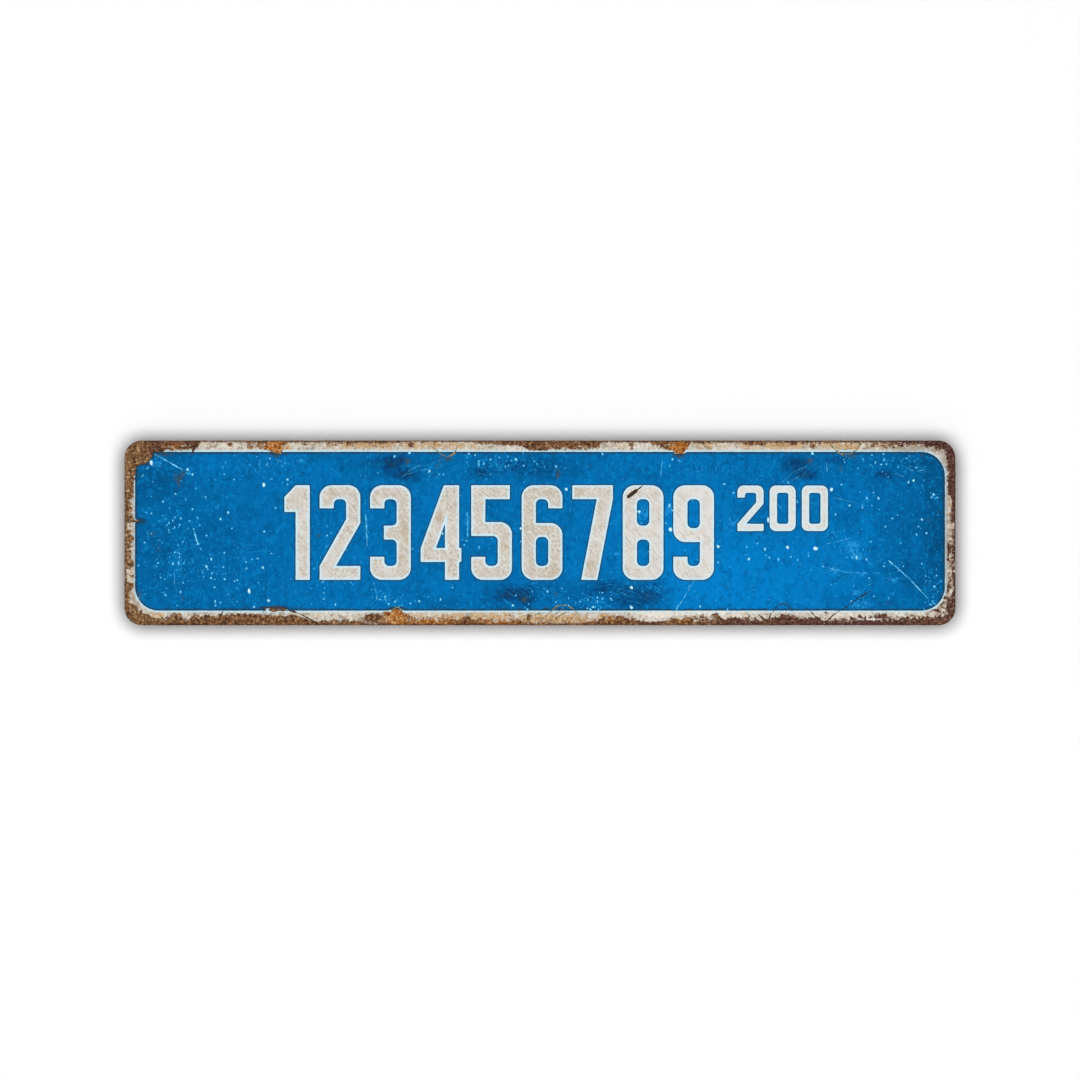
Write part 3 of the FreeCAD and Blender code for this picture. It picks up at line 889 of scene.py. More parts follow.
class Finish:
    """A material in the making: its nodes, the place on the object and its colour so far.

    Sizes of grain and the depth of a bump are given in millimetres.
    """

    def __init__(self, name, base=None):
        self.material = bpy.data.materials.new(name)
        self.material.use_nodes = True
        self.tree = self.material.node_tree
        self.tree.nodes.clear()
        self.place = add_node(self.tree, "ShaderNodeTexCoord").outputs["Object"]
        self.base = base

    def ground(self, stops, size, detail, roughness):
        """The first colour, led through its stops by a grain one size across."""
        sockets = {"Vector": self.place, "Scale": 1 / (size * MM)}
        sockets |= {"Detail": detail, "Roughness": roughness}
        grain = add_node(self.tree, "ShaderNodeTexNoise", sockets)
        self.base = add_node(self.tree, "ShaderNodeValToRGB", {"Fac": grain}, stops)
        return grain

    def lay(self, code, size, low, high, amount=1.0, detail=1.5, roughness=0.6,
            drawn=(1, 1, 1), turn=0.0, push=None):  # fmt: skip
        """Lays a colour on top wherever a grain goes from low to high.

        The grain is noise whose hills are one size across, turned in the sign's plane
        and drawn out along its own axes. A push adds so much of a value that the mesh
        carries, so that the colour gathers there and still ends raggedly.
        """
        place = self.place
        if turn or drawn != (1, 1, 1):
            sockets = {"Vector": place, "Rotation": (0.0, turn, 0.0), "Scale": drawn}
            place = add_node(self.tree, "ShaderNodeMapping", sockets, vector_type="TEXTURE")
        sockets = {"Vector": place, "Scale": 1 / (size * MM)}
        sockets |= {"Detail": detail, "Roughness": roughness}
        value = add_node(self.tree, "ShaderNodeTexNoise", sockets)
        if push is not None:
            label, share = push
            carried = add_node(self.tree, "ShaderNodeAttribute", attribute_name=label)
            sockets = {0: carried.outputs["Fac"], 1: share, 2: value}
            value = add_node(self.tree, "ShaderNodeMath", sockets, operation="MULTIPLY_ADD")
        sockets = {"Value": value, "From Min": low, "From Max": high, "To Max": amount}
        shown = add_node(self.tree, "ShaderNodeMapRange", sockets)
        sockets = {0: shown, COLOUR_A: self.base, COLOUR_B: code}
        self.base = add_node(self.tree, "ShaderNodeMix", sockets, data_type="RGBA")

    def end(self, gloss, relief, depth, roughness, specular):
        """The finished material: a bump, a roughness that wanders, and the shader.

        relief is the size of the bump's grain and gloss the size of the roughness's.
        """
        sockets = {"Vector": self.place, "Scale": 1 / (relief * MM), "Detail": 6.0}
        grain = add_node(self.tree, "ShaderNodeTexNoise", sockets)
        sockets = {"Height": grain, "Distance": depth * MM, "Strength": 0.6}
        normal = add_node(self.tree, "ShaderNodeBump", sockets)
        sockets = {"Vector": self.place, "Scale": 1 / (gloss * MM)}
        patch = add_node(self.tree, "ShaderNodeTexNoise", sockets)
        sockets = {"Value": patch, "From Min": 0.3, "From Max": 0.7}
        sockets |= {"To Min": roughness[0], "To Max": roughness[1]}
        dull = add_node(self.tree, "ShaderNodeMapRange", sockets)
        sockets = {"Base Color": self.base, "Roughness": dull, "Normal": normal}
        sockets |= {"IOR": 1.5, "Specular IOR Level": specular}
        shader = add_node(self.tree, "ShaderNodeBsdfPrincipled", sockets)
        add_node(self.tree, "ShaderNodeOutputMaterial", {"Surface": shader})
        return self.material


def blue_enamel(colours):
    """Blue vitreous enamel, dusted on and fired, then chalked by decades outdoors.

    To the eye it is a deep even blue with next to no gloss, milky in fine specks and
    darker where grime has settled.
    """
    finish = Finish("blue_vitreous_enamel_weathered")
    tree = finish.tree
    blue = tuple(colours.blue)
    dull, deep, bright = scaled(blue, 0.50), scaled(blue, 0.40), scaled(blue, 1.46)
    tone = add_node(tree, "ShaderNodeAttribute", attribute_name="tone").outputs["Fac"]
    stops = ((0.0, dull), (0.5, blue), (1.0, bright))
    finish.base = add_node(tree, "ShaderNodeValToRGB", {"Fac": tone}, stops)

    # Broad clouds, smudges, upright streaks left by rain, and the glass's fine mottling.
    finish.lay(dull, 24, 0.50, 0.28, 0.40, 4.0)
    finish.lay(bright, 21, 0.50, 0.72, 0.30, 4.0)
    finish.lay(dull, 7, 0.46, 0.26, 0.50, 3.0)
    finish.lay("#0480C6", 5, 0.54, 0.74, 0.45, 3.0)
    finish.lay(dull, 3.4, 0.46, 0.28, 0.25, drawn=(1, 1, 9))
    finish.lay("#0480C6", 3.0, 0.56, 0.74, 0.25, drawn=(1, 1, 7))
    finish.lay(deep, 2.6, 0.46, 0.24, 0.50)
    finish.lay("#078ACE", 2.3, 0.54, 0.76, 0.60, 2.0)
    finish.lay("#1E98DC", 1.5, 0.63, 0.80, 0.75)

    # Dark blotches of grime, nearly black-green at their cores.
    blotch = ("blotch", 0.45)
    finish.lay("#033B70", 2.2, 0.58, 0.98, 0.92, 3.0, 0.7, push=blotch)
    finish.lay("#1B3540", 1.5, 0.86, 1.08, 0.80, 2.0, push=blotch)

    # Milky scuffs, and pin-prick chips too small to be worth a shape of their own.
    scuff = ("scuff", 0.40)
    finish.lay("#2496DA", 1.5, 0.66, 0.86, 0.85, push=scuff)
    sockets = {"Vector": finish.place, "Scale": 1 / (2.4 * MM)}
    cells = add_node(tree, "ShaderNodeTexVoronoi", sockets)
    lot = add_node(tree, "ShaderNodeSeparateColor", {"Color": cells.outputs["Color"]})
    sockets = {"Value": lot.outputs[0], "From Min": 0.62, "To Max": 0.20}
    size = add_node(tree, "ShaderNodeMapRange", sockets)
    sockets = {0: size, 1: cells.outputs["Distance"]}
    inside = add_node(tree, "ShaderNodeMath", sockets, operation="SUBTRACT")
    sockets = {"Value": inside, "From Max": 0.09, "To Max": 0.75}
    pins = add_node(tree, "ShaderNodeMapRange", sockets)
    sockets = {0: pins, COLOUR_A: finish.base, COLOUR_B: "#38A2E0"}
    finish.base = add_node(tree, "ShaderNodeMix", sockets, data_type="RGBA")

    # Rust that has seeped through: a slaty shade, then olive, then brown crumbs.
    stain = ("stain", 0.60)
    finish.lay("#344F5B", 1.8, 0.70, 0.96, 0.82, push=stain)
    finish.lay("#4C5448", 1.3, 0.94, 1.16, 0.70, push=stain)
    finish.lay("#77674A", 1.1, 1.08, 1.22, 0.65, push=stain)

    # A fine darker line runs along the coat's rim.
    finish.lay("#1A4058", 2.0, -0.30, 0.24, 0.92, push=("rim", -0.5))
    return finish.end(gloss=20, relief=1.7, depth=0.03, roughness=(0.45, 0.60), specular=0.015)


def cream_enamel(colours):
    """Cream vitreous ground enamel, crazed and stained where rust lifts it.

    To the eye it is matt and greyish, peppered with brown, and palest in the thin
    line beside the blue.
    """
    finish = Finish("cream_vitreous_enamel_stained")
    cream = tuple(colours.cream)
    pale = scaled(cream, 1.20)
    stops = ((0.34, "#9C8E7C"), (0.43, "#BAB0A1"), (0.52, cream), (0.64, pale))
    finish.ground(stops, 2.2, 2.0, 0.6)
    finish.lay("#CBBAA3", 7, 0.50, 0.66, 0.5, 3.0, drawn=(3, 1, 1))
    finish.lay("#7A5C41", 1.0, 0.64, 0.74, 0.8)

    # Tan and ochre patches.
    tan = ("tan", 0.36)
    finish.lay("#C8A475", 2.6, 0.60, 0.78, 0.85, 2.0, push=tan)
    finish.lay("#8A5D30", 1.4, 0.78, 0.92, 0.75, push=tan)

    # Rust creeps under the coat next to the flaked edge.
    edge = ("edge", -0.22)
    finish.lay("#8F7052", 1.3, 0.36, 0.48, 0.85, push=edge)
    finish.lay("#533828", 1.0, 0.46, 0.56, 0.85, push=edge)

    # The paler line along the blue, bluish where it touches it.
    line = ("line", -0.50)
    finish.lay("#C6D6DC", 1.4, -0.24, 0.10, 0.88, push=line)
    finish.lay("#BCE9FA", 1.4, 0.06, 0.40, 0.90, push=line)

    # Dulled by soot in places, and fresher where a flake has only just come off.
    soil = ("soil", 0.45)
    finish.lay("#8F8A82", 1.5, 0.58, 0.98, 0.62, push=soil)
    fresh = ("soil", -0.45)
    finish.lay("#EDE8DE", 1.7, 0.56, 0.96, 0.85, push=fresh)
    return finish.end(gloss=2, relief=2, depth=0.05, roughness=(0.45, 0.62), specular=0.06)


def numeral_enamel(colours):
    """Cream enamel in the numerals, matted, lighter and darker in patches, dirt-flecked and
    scratched, with a paler rim.
    """
    finish = Finish("cream_vitreous_enamel_numerals")
    cream = tuple(colours.numerals)
    pale = scaled(cream, 1.14)
    stops = ((0.30, "#AFA494"), (0.42, "#C3BCB0"), (0.52, cream), (0.68, pale))
    finish.ground(stops, 1.3, 1.5, 0.6)
    finish.lay("#CFC5C4", 15, 0.50, 0.64, 0.6, 3.0)
    finish.lay("#B9A688", 12, 0.46, 0.30, 0.8, 4.0)

    # Lighter in some patches, darker and browner in others.
    finish.lay("#E4E3E1", 5, 0.50, 1.10, 0.8, 3.0, push=("lighter_patch", 0.6))
    finish.lay("#B59F7C", 4, 0.50, 1.10, 0.8, 3.0, push=("darker_patch", 0.6))

    # Scratches in two directions, bright ones and dirt-filled ones.
    finish.lay("#E6E1D9", 0.7, 0.55, 0.70, 0.6, drawn=(14, 1, 1), turn=0.7)
    finish.lay("#A08E76", 0.6, 0.57, 0.72, 0.5, drawn=(12, 1, 1), turn=0.95)
    finish.lay("#8F755B", 1.0, 0.70, 0.80, 0.7)

    # The pale rim, inside the dark line that frames each numeral.
    finish.lay("#D9E4E4", 1.3, -0.28, 0.00, 0.65, push=("edge", -0.5))
    finish.lay("#C4EAFB", 1.3, -0.04, 0.24, 0.90, push=("edge", -0.5))
    finish.lay("#184C70", 2, 0.45, 0.85, push=("edge", -8.0))
    return finish.end(gloss=12, relief=1.5, depth=0.04, roughness=(0.45, 0.60), specular=0.06)


def rusted_steel(colours):
    """Mild steel, cold rolled, rusted where the enamel has sprung off it.

    To the eye it is quite matt and grainy: dark pits, tan crumbs, olive dust on the left,
    purplish scale on the right, and orange where the rust is young.
    """
    finish = Finish("mild_steel_rusted")
    tree = finish.tree
    stages = (0.34, 0.42, 0.51, 0.60, 0.69)
    rust = tuple(colours.rust)
    brown = (scaled(rust, 0.30), scaled(rust, 0.58), rust, "#8C6544", "#AF8A64")
    grain = finish.ground(tuple(zip(stages, brown)), 1.5, 2.0, 0.65)
    sorts = (
        ("olive", ("#402B1D", "#63452C", "#7B593B", "#997651", "#BC9F7A")),
        ("purple", ("#361E19", "#472A24", "#543630", "#64453D", "#7C5D54")),
        ("orange", ("#6A3815", "#95561F", "#B0702F", "#C18A50", "#D9B98E")),
    )
    for label, codes in sorts:
        stops = tuple(zip(stages, codes))
        sort = add_node(tree, "ShaderNodeValToRGB", {"Fac": grain}, stops)
        amount = add_node(tree, "ShaderNodeAttribute", attribute_name=label).outputs["Fac"]
        sockets = {"Value": amount, "From Min": 0.15, "From Max": 0.7}
        share = add_node(tree, "ShaderNodeMapRange", sockets)
        sockets = {0: share, COLOUR_A: finish.base, COLOUR_B: sort}
        finish.base = add_node(tree, "ShaderNodeMix", sockets, data_type="RGBA")
    finish.lay("#22150F", 1.0, 0.40, 0.28, 0.85)
    finish.lay("#BFA684", 0.9, 0.66, 0.78, 0.75)

    # Crumbs of cream coat that still hold on near it, and the darker cut edge.
    near = ("near", 0.12)
    finish.lay("#C2B29C", 1.2, 0.52, 0.62, 0.85, push=near)
    finish.lay("#2B1B15", 2, 0.16, 0.40, 0.70, push=("depth", -0.6))
    return finish.end(gloss=2, relief=1.6, depth=0.15, roughness=(0.92, 0.78), specular=0.10)


def ground_coat(colours):
    """Dark ground-coat enamel, dipped, as the unseen back of such signs is left."""
    finish = Finish("dark_ground_coat_enamel_back")
    back = tuple(colours.back)
    stops = ((0.30, scaled(back, 0.55)), (0.50, back), (0.72, scaled(back, 1.7)))
    finish.ground(stops, 22, 5.0, 0.6)
    finish.lay("#8E959A", 0.9, 0.66, 0.74, 0.6)
    depth = ("depth", -0.10)
    finish.lay("#6E472E", 5, 0.16, 0.30, 0.9, 7.0, 0.75, push=depth)
    finish.lay("#3B241A", 3, 0.30, 0.46, 0.8, 7.0, 0.75, push=depth)
    finish.lay("#3B241A", 1.2, 0.64, 0.70, 0.6)
    return finish.end(gloss=9, relief=5, depth=0.08, roughness=(0.36, 0.50), specular=0.35)


def chipped_enamel():
    """The pale coat laid bare by a chip in the blue, whitest in its middle."""
    finish = Finish("pale_enamel_laid_bare")
    middle = add_node(finish.tree, "ShaderNodeAttribute", attribute_name="middle")
    stops = ((0.05, "#1090DC"), (0.30, "#34B4F2"), (0.62, "#92E4FC"), (0.95, "#F0FDFF"))
    sockets = {"Fac": middle.outputs["Fac"]}
    finish.base = add_node(finish.tree, "ShaderNodeValToRGB", sockets, stops)
    finish.lay("#5AB8EC", 1.2, 0.50, 0.35, 0.5)
    return finish.end(gloss=2, relief=1, depth=0.02, roughness=(0.55, 0.65), specular=0.06)


def line_finish(name, dark, pale):
    """Enamel broken along a fine line, from one colour to another by its own grain."""
    finish = Finish(name)
    finish.ground(((0.38, dark), (0.58, pale)), 1.6, 4.0, 0.65)
    return finish.end(gloss=2, relief=1, depth=0.02, roughness=(0.65, 0.75), specular=0.06)


# Pieces.
def build_steel_sheet(sizes, colours):
    """The sheet: one profile carried round the outline, with a face front and back.

    The profile runs from inside the front out over the rounded arris, down the cut edge
    and in under the back. Rust pits and lifts the front by the sum of two layers of
    hills, and gnaws the outline by up to a quarter of a millimetre.
    """
    edge = Outline(sizes)
    deepest = 14 * MM
    inner_radius = 3 * MM
    arris = 0.4 * MM
    deburr = 0.15 * MM
    columns = int(edge.total / (0.65 * MM))
    s = np.linspace(0, edge.total, columns, endpoint=False)

    bends = np.linspace(0, math.pi / 2, 5)
    insets = [deepest, 11.5 * MM]
    insets += list(np.arange(9.6, 0.7, -0.42) * MM)
    heights = [STEEL_FRONT] * len(insets)
    insets += list(arris - arris * np.sin(bends))
    heights += list(STEEL_FRONT - arris + arris * np.cos(bends))
    insets += list(deburr - deburr * np.cos(bends[1::2]))
    heights += list(deburr - deburr * np.sin(bends[1::2]))
    insets += [1.0 * MM, 4.0 * MM]
    heights += [0.0, 0.0]
    inset = np.array(insets)[None, :]
    height = np.array(heights)[None, :] + np.zeros((columns, 1))

    x, z = edge.ruled(s[:, None], inset, deepest, inner_radius)
    outer_x, outer_z = edge.point(s, 0, edge.radius)
    inner_x, inner_z = edge.point(s, deepest, inner_radius)
    gnaw = 0.25 * MM * np.clip(rough(outer_x, outer_z, 3 * MM, 11), 0, 1)
    away = np.hypot(inner_x - outer_x, inner_z - outer_z)
    pull = (gnaw / away)[:, None] * np.exp(-inset / (1.5 * MM))
    x = x + (inner_x[:, None] - x) * pull
    z = z + (inner_z[:, None] - z) * pull

    relief = 0.055 * MM * rough(x, z, 3.2 * MM, 21) + 0.045 * MM * rough(x, z, 1.2 * MM, 31)
    on_front = (height >= STEEL_FRONT - arris) & (inset < 12 * MM)
    height = height + np.where(on_front, relief - 0.02 * MM, 0.0)

    rows = len(insets)
    points = np.stack([x, -height, z], axis=2).reshape(-1, 3)
    here = np.arange(columns)[:, None] * rows
    after = (np.arange(columns)[:, None] + 1) % columns * rows
    row = np.arange(rows - 1)[None, :]
    quads = np.stack([here + row, here + row + 1, after + row + 1, after + row], axis=2)
    faces = quads.reshape(-1, 4).tolist()
    faces.append((np.arange(columns) * rows).tolist())
    faces.append((np.arange(columns)[::-1] * rows + rows - 1).tolist())

    back_starts = rows - 3
    slots = np.tile((np.arange(rows - 1) >= back_starts).astype(int), columns).tolist()
    slots += [0, 1]
    flat_x, flat_z = points[:, 0], points[:, 2]
    values = {
        "depth": edge.depth(flat_x, flat_z) / MM,
        "near": coat_left(edge, flat_x, flat_z) / MM,
        "olive": patches(flat_x, flat_z, OLIVE_RUST),
        "purple": patches(flat_x, flat_z, PURPLE_RUST),
        "orange": patches(flat_x, flat_z, ORANGE_RUST),
    }
    smooth = [True] * (len(faces) - 2) + [False, False]
    finishes = [rusted_steel(colours), ground_coat(colours)]
    piece = add_piece("steel_sheet", points, faces, finishes, values, smooth, slots)
    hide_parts("sign_panel")


def build_cream_border(sizes, colours):
    """The cream coat: a ring of grid lines from the outline inwards, kept where rust
    hasn't taken it, and running a little way under the blue.

    A thin line of it holds on beside the blue even where rust has come right up to it,
    except in the worn corner and where rust eats through.
    """
    edge = Outline(sizes)
    deepest = 13 * MM
    s = np.linspace(0, edge.total, int(edge.total / (0.5 * MM)), endpoint=False)
    inset = np.linspace(0, deepest, 31)[None, :]
    x, z = edge.ruled(s[:, None], inset, deepest, 3 * MM)
    depth = edge.depth(x, z)
    field = coat_left(edge, x, z)
    outward = -blue_box(x, z, sizes)
    gone = spots(x, z, THROUGH_RUST + WORN_CORNER) + 0.3 * MM * hills(x, z, 1 * MM, 81)
    line = np.minimum(0.25 * MM - np.abs(outward - 0.35 * MM), -gone)
    keep = np.maximum(field, line)
    keep = np.minimum(keep, outward + 1.2 * MM)
    keep = np.minimum(keep, np.minimum(depth - 0.3 * MM, deepest - inset - 0.2 * MM))
    keep = np.where(inset + 0 * x < 0.05 * MM, -0.1 * MM, keep)
    front = CREAM_FRONT - 0.06 * MM * np.exp(-np.clip(keep, 0, None) / (0.3 * MM))
    front = front + 0.012 * MM * rough(x, z, 4 * MM, 91)
    values = {
        "edge": field / MM,
        "line": outward / MM,
        "tan": patches(x, z, TAN_PATCHES),
        "soil": patches(x, z, SOILED) - patches(x, z, FRESH),
    }
    finish = cream_enamel(colours)
    film("cream_border", x, z, keep, front, COAT_FOOT, finish, values, closed=True)


def spaced(stops, steps):
    """Grid lines from stop to stop, each span divided evenly by about its own step."""
    lines = [np.array([stops[0]])]
    for low, high, step in zip(stops, stops[1:], steps):
        count = max(1, round((high - low) / step))
        lines.append(np.linspace(low, high, count + 1)[1:])
    return np.concatenate(lines)


def build_blue_field(sizes, colours):
    """The blue coat: a rounded rectangle, less the corner where rust has cut across it.

    The grid is fine along the four sides and coarser in the middle, where the coat has
    no edge. The cut runs along two slanting lines, roughened by hills: the blue is
    whatever lies below the first or to the right of the second.
    """
    half_x = sizes.sheet_length / 2 - sizes.side_margin + 1 * MM
    low = -sizes.sheet_height / 2 + sizes.bottom_margin - 1 * MM
    high = sizes.sheet_height / 2 - sizes.top_margin + 1 * MM
    steps = (0.5 * MM, 1.3 * MM, 0.5 * MM)
    side = 14 * MM
    xs = spaced((-half_x, side - half_x, half_x - side, half_x), steps)
    zs = spaced((low, low + side, high - side, high), steps)
    x, z = np.meshgrid(xs, zs, indexing="ij")
    rim = blue_box(x, z, sizes)
    cut = np.full(x.shape, -1.0)
    for (ax, az), (bx, bz) in zip(CORNER_CUT, CORNER_CUT[1:]):
        run, rise = across(bx) - across(ax), up(bz) - up(az)
        beside = (x - across(ax)) * rise - (z - up(az)) * run
        cut = np.maximum(cut, beside / math.hypot(run, rise))
    cut = cut + 0.7 * MM * rough(x, z, 2.4 * MM, 101)
    field = np.minimum(rim + 0.06 * MM * hills(x, z, 2 * MM, 111), cut)
    bite = spots(x, z, THROUGH_RUST) + 0.9 * MM * rough(x, z, 1.8 * MM, 71)
    field = np.minimum(field, -bite)
    front = BLUE_FRONT - 0.05 * MM * np.exp(-np.clip(field, 0, None) / (0.4 * MM))
    tone = 0.5 + 0.5 * patches(x, z, BRIGHT_BLUE) - 0.5 * patches(x, z, DULL_BLUE)
    values = {
        "rim": field / MM,
        "tone": np.clip(tone, 0, 1),
        "blotch": np.clip(patches(x, z, DARK_BLOTCHES), 0, 1),
        "stain": np.clip(patches(x, z, BROWN_STAINS), 0, 1),
        "scuff": np.clip(patches(x, z, PALE_SCUFFS), 0, 1),
    }
    film("blue_field", x, z, field, front, COAT_FOOT, blue_enamel(colours), values)


def numeral_shape(digit, x, z, wide, tall, stem):
    """Distance into a numeral, positive inside, in a box that starts at the origin.

    Each is put together from round-cornered blocks, bowls, cuts and slanted bars. A
    bowl is a block less a smaller one. Joining takes the larger distance, and cutting
    takes the smaller of the shape's and the cut's reversed.
    """
    bar = 0.985 * stem
    hook = 1.64 * stem
    under = (tall - bar) / 2
    over = (tall + bar) / 2

    def block(left, right, low, high, radius=0.0):
        return inside_box(x, z, left, right, low, high, radius)

    def cut(shape, left, right, low, high, radius=0.0):
        return np.minimum(shape, -block(left, right, low, high, radius))

    def bowl(low, high):
        outer = block(0, wide, low, high, 0.86 * stem)
        return cut(outer, stem, wide - stem, low + bar, high - bar, 0.36 * stem)

    def slant(foot, head, thick):
        lean = (head[0] - foot[0]) / (head[1] - foot[1])
        slope = math.hypot(1, lean)
        right_of = (x - foot[0] - lean * (z - foot[1])) / slope
        return np.minimum(right_of, thick / slope - right_of)

    def join(*shapes):
        return np.maximum.reduce(shapes)

    def eight():
        outer = block(0, wide, 0, tall, 0.86 * stem)
        outer = cut(outer, stem, wide - stem, bar, under, 0.36 * stem)
        return cut(outer, stem, wide - stem, over, tall - bar, 0.36 * stem)

    if digit == "0":
        return bowl(0, tall)
    if digit == "1":
        top = (tall - z - 1.05 * (wide - stem - x)) / math.hypot(1, 1.05)
        flag = np.minimum(block(0, wide - stem / 2, tall - 1.9 * stem, tall), top)
        return join(block(wide - stem, wide, 0, tall), flag)
    if digit == "2":
        arch = block(0, wide, -tall, tall, 0.86 * stem)
        arch = cut(arch, stem, wide - stem, -tall, tall - bar, 0.36 * stem)
        arch = cut(arch, -wide, wide / 2, -2 * tall, tall - hook)
        arch = cut(arch, wide / 2, 2 * wide, -2 * tall, 0.60 * tall)
        bar_down = slant((0, bar), (wide - 1.16 * stem, 0.60 * tall), 1.16 * stem)
        bar_down = np.minimum(bar_down, block(0, wide, 0.3 * bar, 0.68 * tall))
        return join(arch, bar_down, block(0, wide, 0, bar))
    if digit == "3":
        open_left = cut(eight(), -wide, wide / 2, hook, under)
        open_left = cut(open_left, -wide, wide / 2, over, tall - hook)
        return cut(open_left, -wide, 0.34 * wide, 0.9 * under, 1.1 * over)
    if digit == "4":
        right = wide - 0.16 * stem
        rail = 0.19 * tall
        leg = slant((0, rail + bar), (right - 1.08 * stem, tall), 1.08 * stem)
        leg = np.minimum(leg, block(0, right, rail + 0.2 * bar, tall))
        return join(leg, block(right - stem, right, 0, tall), block(0, wide, rail, rail + bar))
    if digit == "5":
        top = 0.61 * tall
        round_part = join(bowl(0, top), block(0, wide / 2, top - bar, top))
        round_part = cut(round_part, -wide, wide / 2, hook, top - bar)
        upright = block(0, stem, top - bar, tall)
        return join(round_part, upright, block(0, 0.95 * wide, tall - bar, tall))
    if digit == "6":
        top = 0.60 * tall
        ring = cut(bowl(0, tall), wide / 2, 2 * wide, top / 2, tall - hook)
        return join(ring, bowl(0, top))
    if digit == "7":
        leg = slant((0.22 * wide, 0), (wide - 1.14 * stem, tall - bar), 1.14 * stem)
        leg = np.minimum(leg, block(0, wide, 0, tall - 0.2 * bar))
        return join(block(0, wide, tall - bar, tall), leg)
    if digit == "8":
        return eight()
    if digit == "9":
        return numeral_shape("6", wide - x, tall - z, wide, tall, stem)
    raise ValueError(f"no shape for {digit!r}")


def build_numerals(sizes, colours):
    """Two plain numbers where the photograph has words: each numeral is a film whose
    field is its own distance, widened by the dark line that frames it."""
    material = numeral_enamel(colours)
    line = 0.75 * MM
    step = 0.42 * MM
    margin = 1.6 * MM
    large_left, large_foot = across(284), up(579.3)
    small_left, small_foot, small_height = across(737), up(530.5), 25.0 * MM
    large = (sizes.number, large_left, large_foot, sizes.numeral_height, 22.3, 7.7, 5.5)
    small = (sizes.small_number, small_left, small_foot, small_height, 14.3, 4.0, 3.4)
    for row, (number, left, low, tall, *widths) in enumerate((large, small)):
        wide, stem, gap = (width * MM for width in widths)
        for place, digit in enumerate(number):
            own_wide = stem * 1.8 if digit == "1" else wide
            xs = np.arange(-margin, own_wide + margin + step, step)
            zs = np.arange(-margin, tall + margin + step, step)
            x, z = np.meshgrid(xs, zs, indexing="ij")
            shape = numeral_shape(digit, x, z, own_wide, tall, stem)
            shape = shape + 0.05 * MM * hills(x + left, z, 1.5 * MM, 131 + place)
            field = shape + line
            front = NUMERAL_FRONT - 0.03 * MM * np.exp(-np.clip(field, 0, None) / (0.4 * MM))
            name = f"numeral_{row + 1}_{place + 1}"
            values = {
                "edge": shape / MM,
                "lighter_patch": patches(x + left, z + low, LIGHTER_NUMERAL_PATCHES),
                "darker_patch": patches(x + left, z + low, DARKER_NUMERAL_PATCHES),
            }
            film(name, x + left, z + low, field, front, NUMERAL_FOOT, material, values)
            left += own_wide + gap


def build_pale_chips(sizes):
    """The larger chips at their own places, then crowds of small ones, all domes."""
    rng = np.random.default_rng(7)
    added_radius = 0.1
    crowding = 1.3
    strays = 170
    left, right, top, bottom = 136, 944, 453, 609
    cut_x, cut_z = across(147), up(458)
    px, py, radius = np.array(PALE_CHIPS).T
    x, z, r = [across(px)], [up(py)], [(radius + added_radius) * PIXEL]
    for cx, cy, wide, tall, count in CHIP_CROWDS:
        many = round(crowding * count)
        x.append(across(cx + wide * rng.normal(size=many)))
        z.append(up(cy + tall * rng.normal(size=many)))
        r.append(PIXEL * (0.50 + 0.70 * rng.random(many) ** 2.2))
    x.append(across(rng.uniform(left, right, strays)))
    z.append(up(rng.uniform(top, bottom, strays)))
    r.append(PIXEL * (0.38 + 0.5 * rng.random(strays) ** 3))
    x, z, r = (np.concatenate(parts) for parts in (x, z, r))
    on_blue = blue_box(x, z, sizes) > 0.4 * MM
    on_blue &= (x - cut_x) - (z - cut_z) > -2 * MM
    x, z, r = x[on_blue], z[on_blue], r[on_blue]
    domes("pale_chips", x, z, r, sizes, chipped_enamel(), 8)


def build_dark_chip():
    """One chip down to the steel, shaped like a blade: lanes across, stations along.

    The half width follows a few stations, given in pixels of the photograph from its
    blunt lower end past a notch to its pointed tail.
    """
    rng = np.random.default_rng(5)
    share = np.linspace(0, 1, 40)
    stations = (0.0, 0.05, 0.16, 0.34, 0.52, 0.58, 0.63, 0.70, 0.82, 1.0)
    widths = (0.7, 1.5, 1.9, 2.1, 1.9, 1.3, 0.5, 0.9, 0.6, 0.08)
    width = np.interp(share, stations, widths) * PIXEL
    width = width * (1 + 0.10 * rng.normal(size=share.size))
    blunt_end, tail = (626.5, 497.2), (643.5, 484.2)
    ax, az = across(blunt_end[0]), up(blunt_end[1])
    bx, bz = across(tail[0]), up(tail[1])
    length = math.hypot(bx - ax, bz - az)
    nx, nz = -(bz - az) / length, (bx - ax) / length
    x = ax + (bx - ax) * share
    z = az + (bz - az) * share
    lanes = np.array([-1.0, -0.6, 0.0, 0.6, 1.0])
    lift = np.array([0.0, 0.7, 1.0, 0.7, 0.0]) * 0.015 * MM
    foot = NUMERAL_FRONT + 0.003 * MM
    px = x[:, None] + nx * width[:, None] * lanes
    pz = z[:, None] + nz * width[:, None] * lanes
    top = np.stack([px, -(foot + lift)[None, :] + 0 * px, pz], axis=2)
    keel = np.stack([x, np.full(x.size, -COAT_FOOT), z], axis=1)[:, None, :]
    ring = np.concatenate([top, keel], axis=1)
    rows = ring.shape[1]
    base = np.arange(share.size - 1)[:, None] * rows
    faces = []
    for k in range(rows):
        after = (k + 1) % rows
        faces += (base + [[after, k, rows + k, rows + after]]).tolist()
    faces.append(list(range(rows)))
    faces.append([(share.size - 1) * rows + k for k in range(rows)][::-1])
    points = ring.reshape(-1, 3)
    finish = line_finish("steel_laid_bare_by_a_chip", "#1C1412", "#4A3629")
    add_piece("dark_chip", points, faces, [finish], {}, [False] * len(faces))


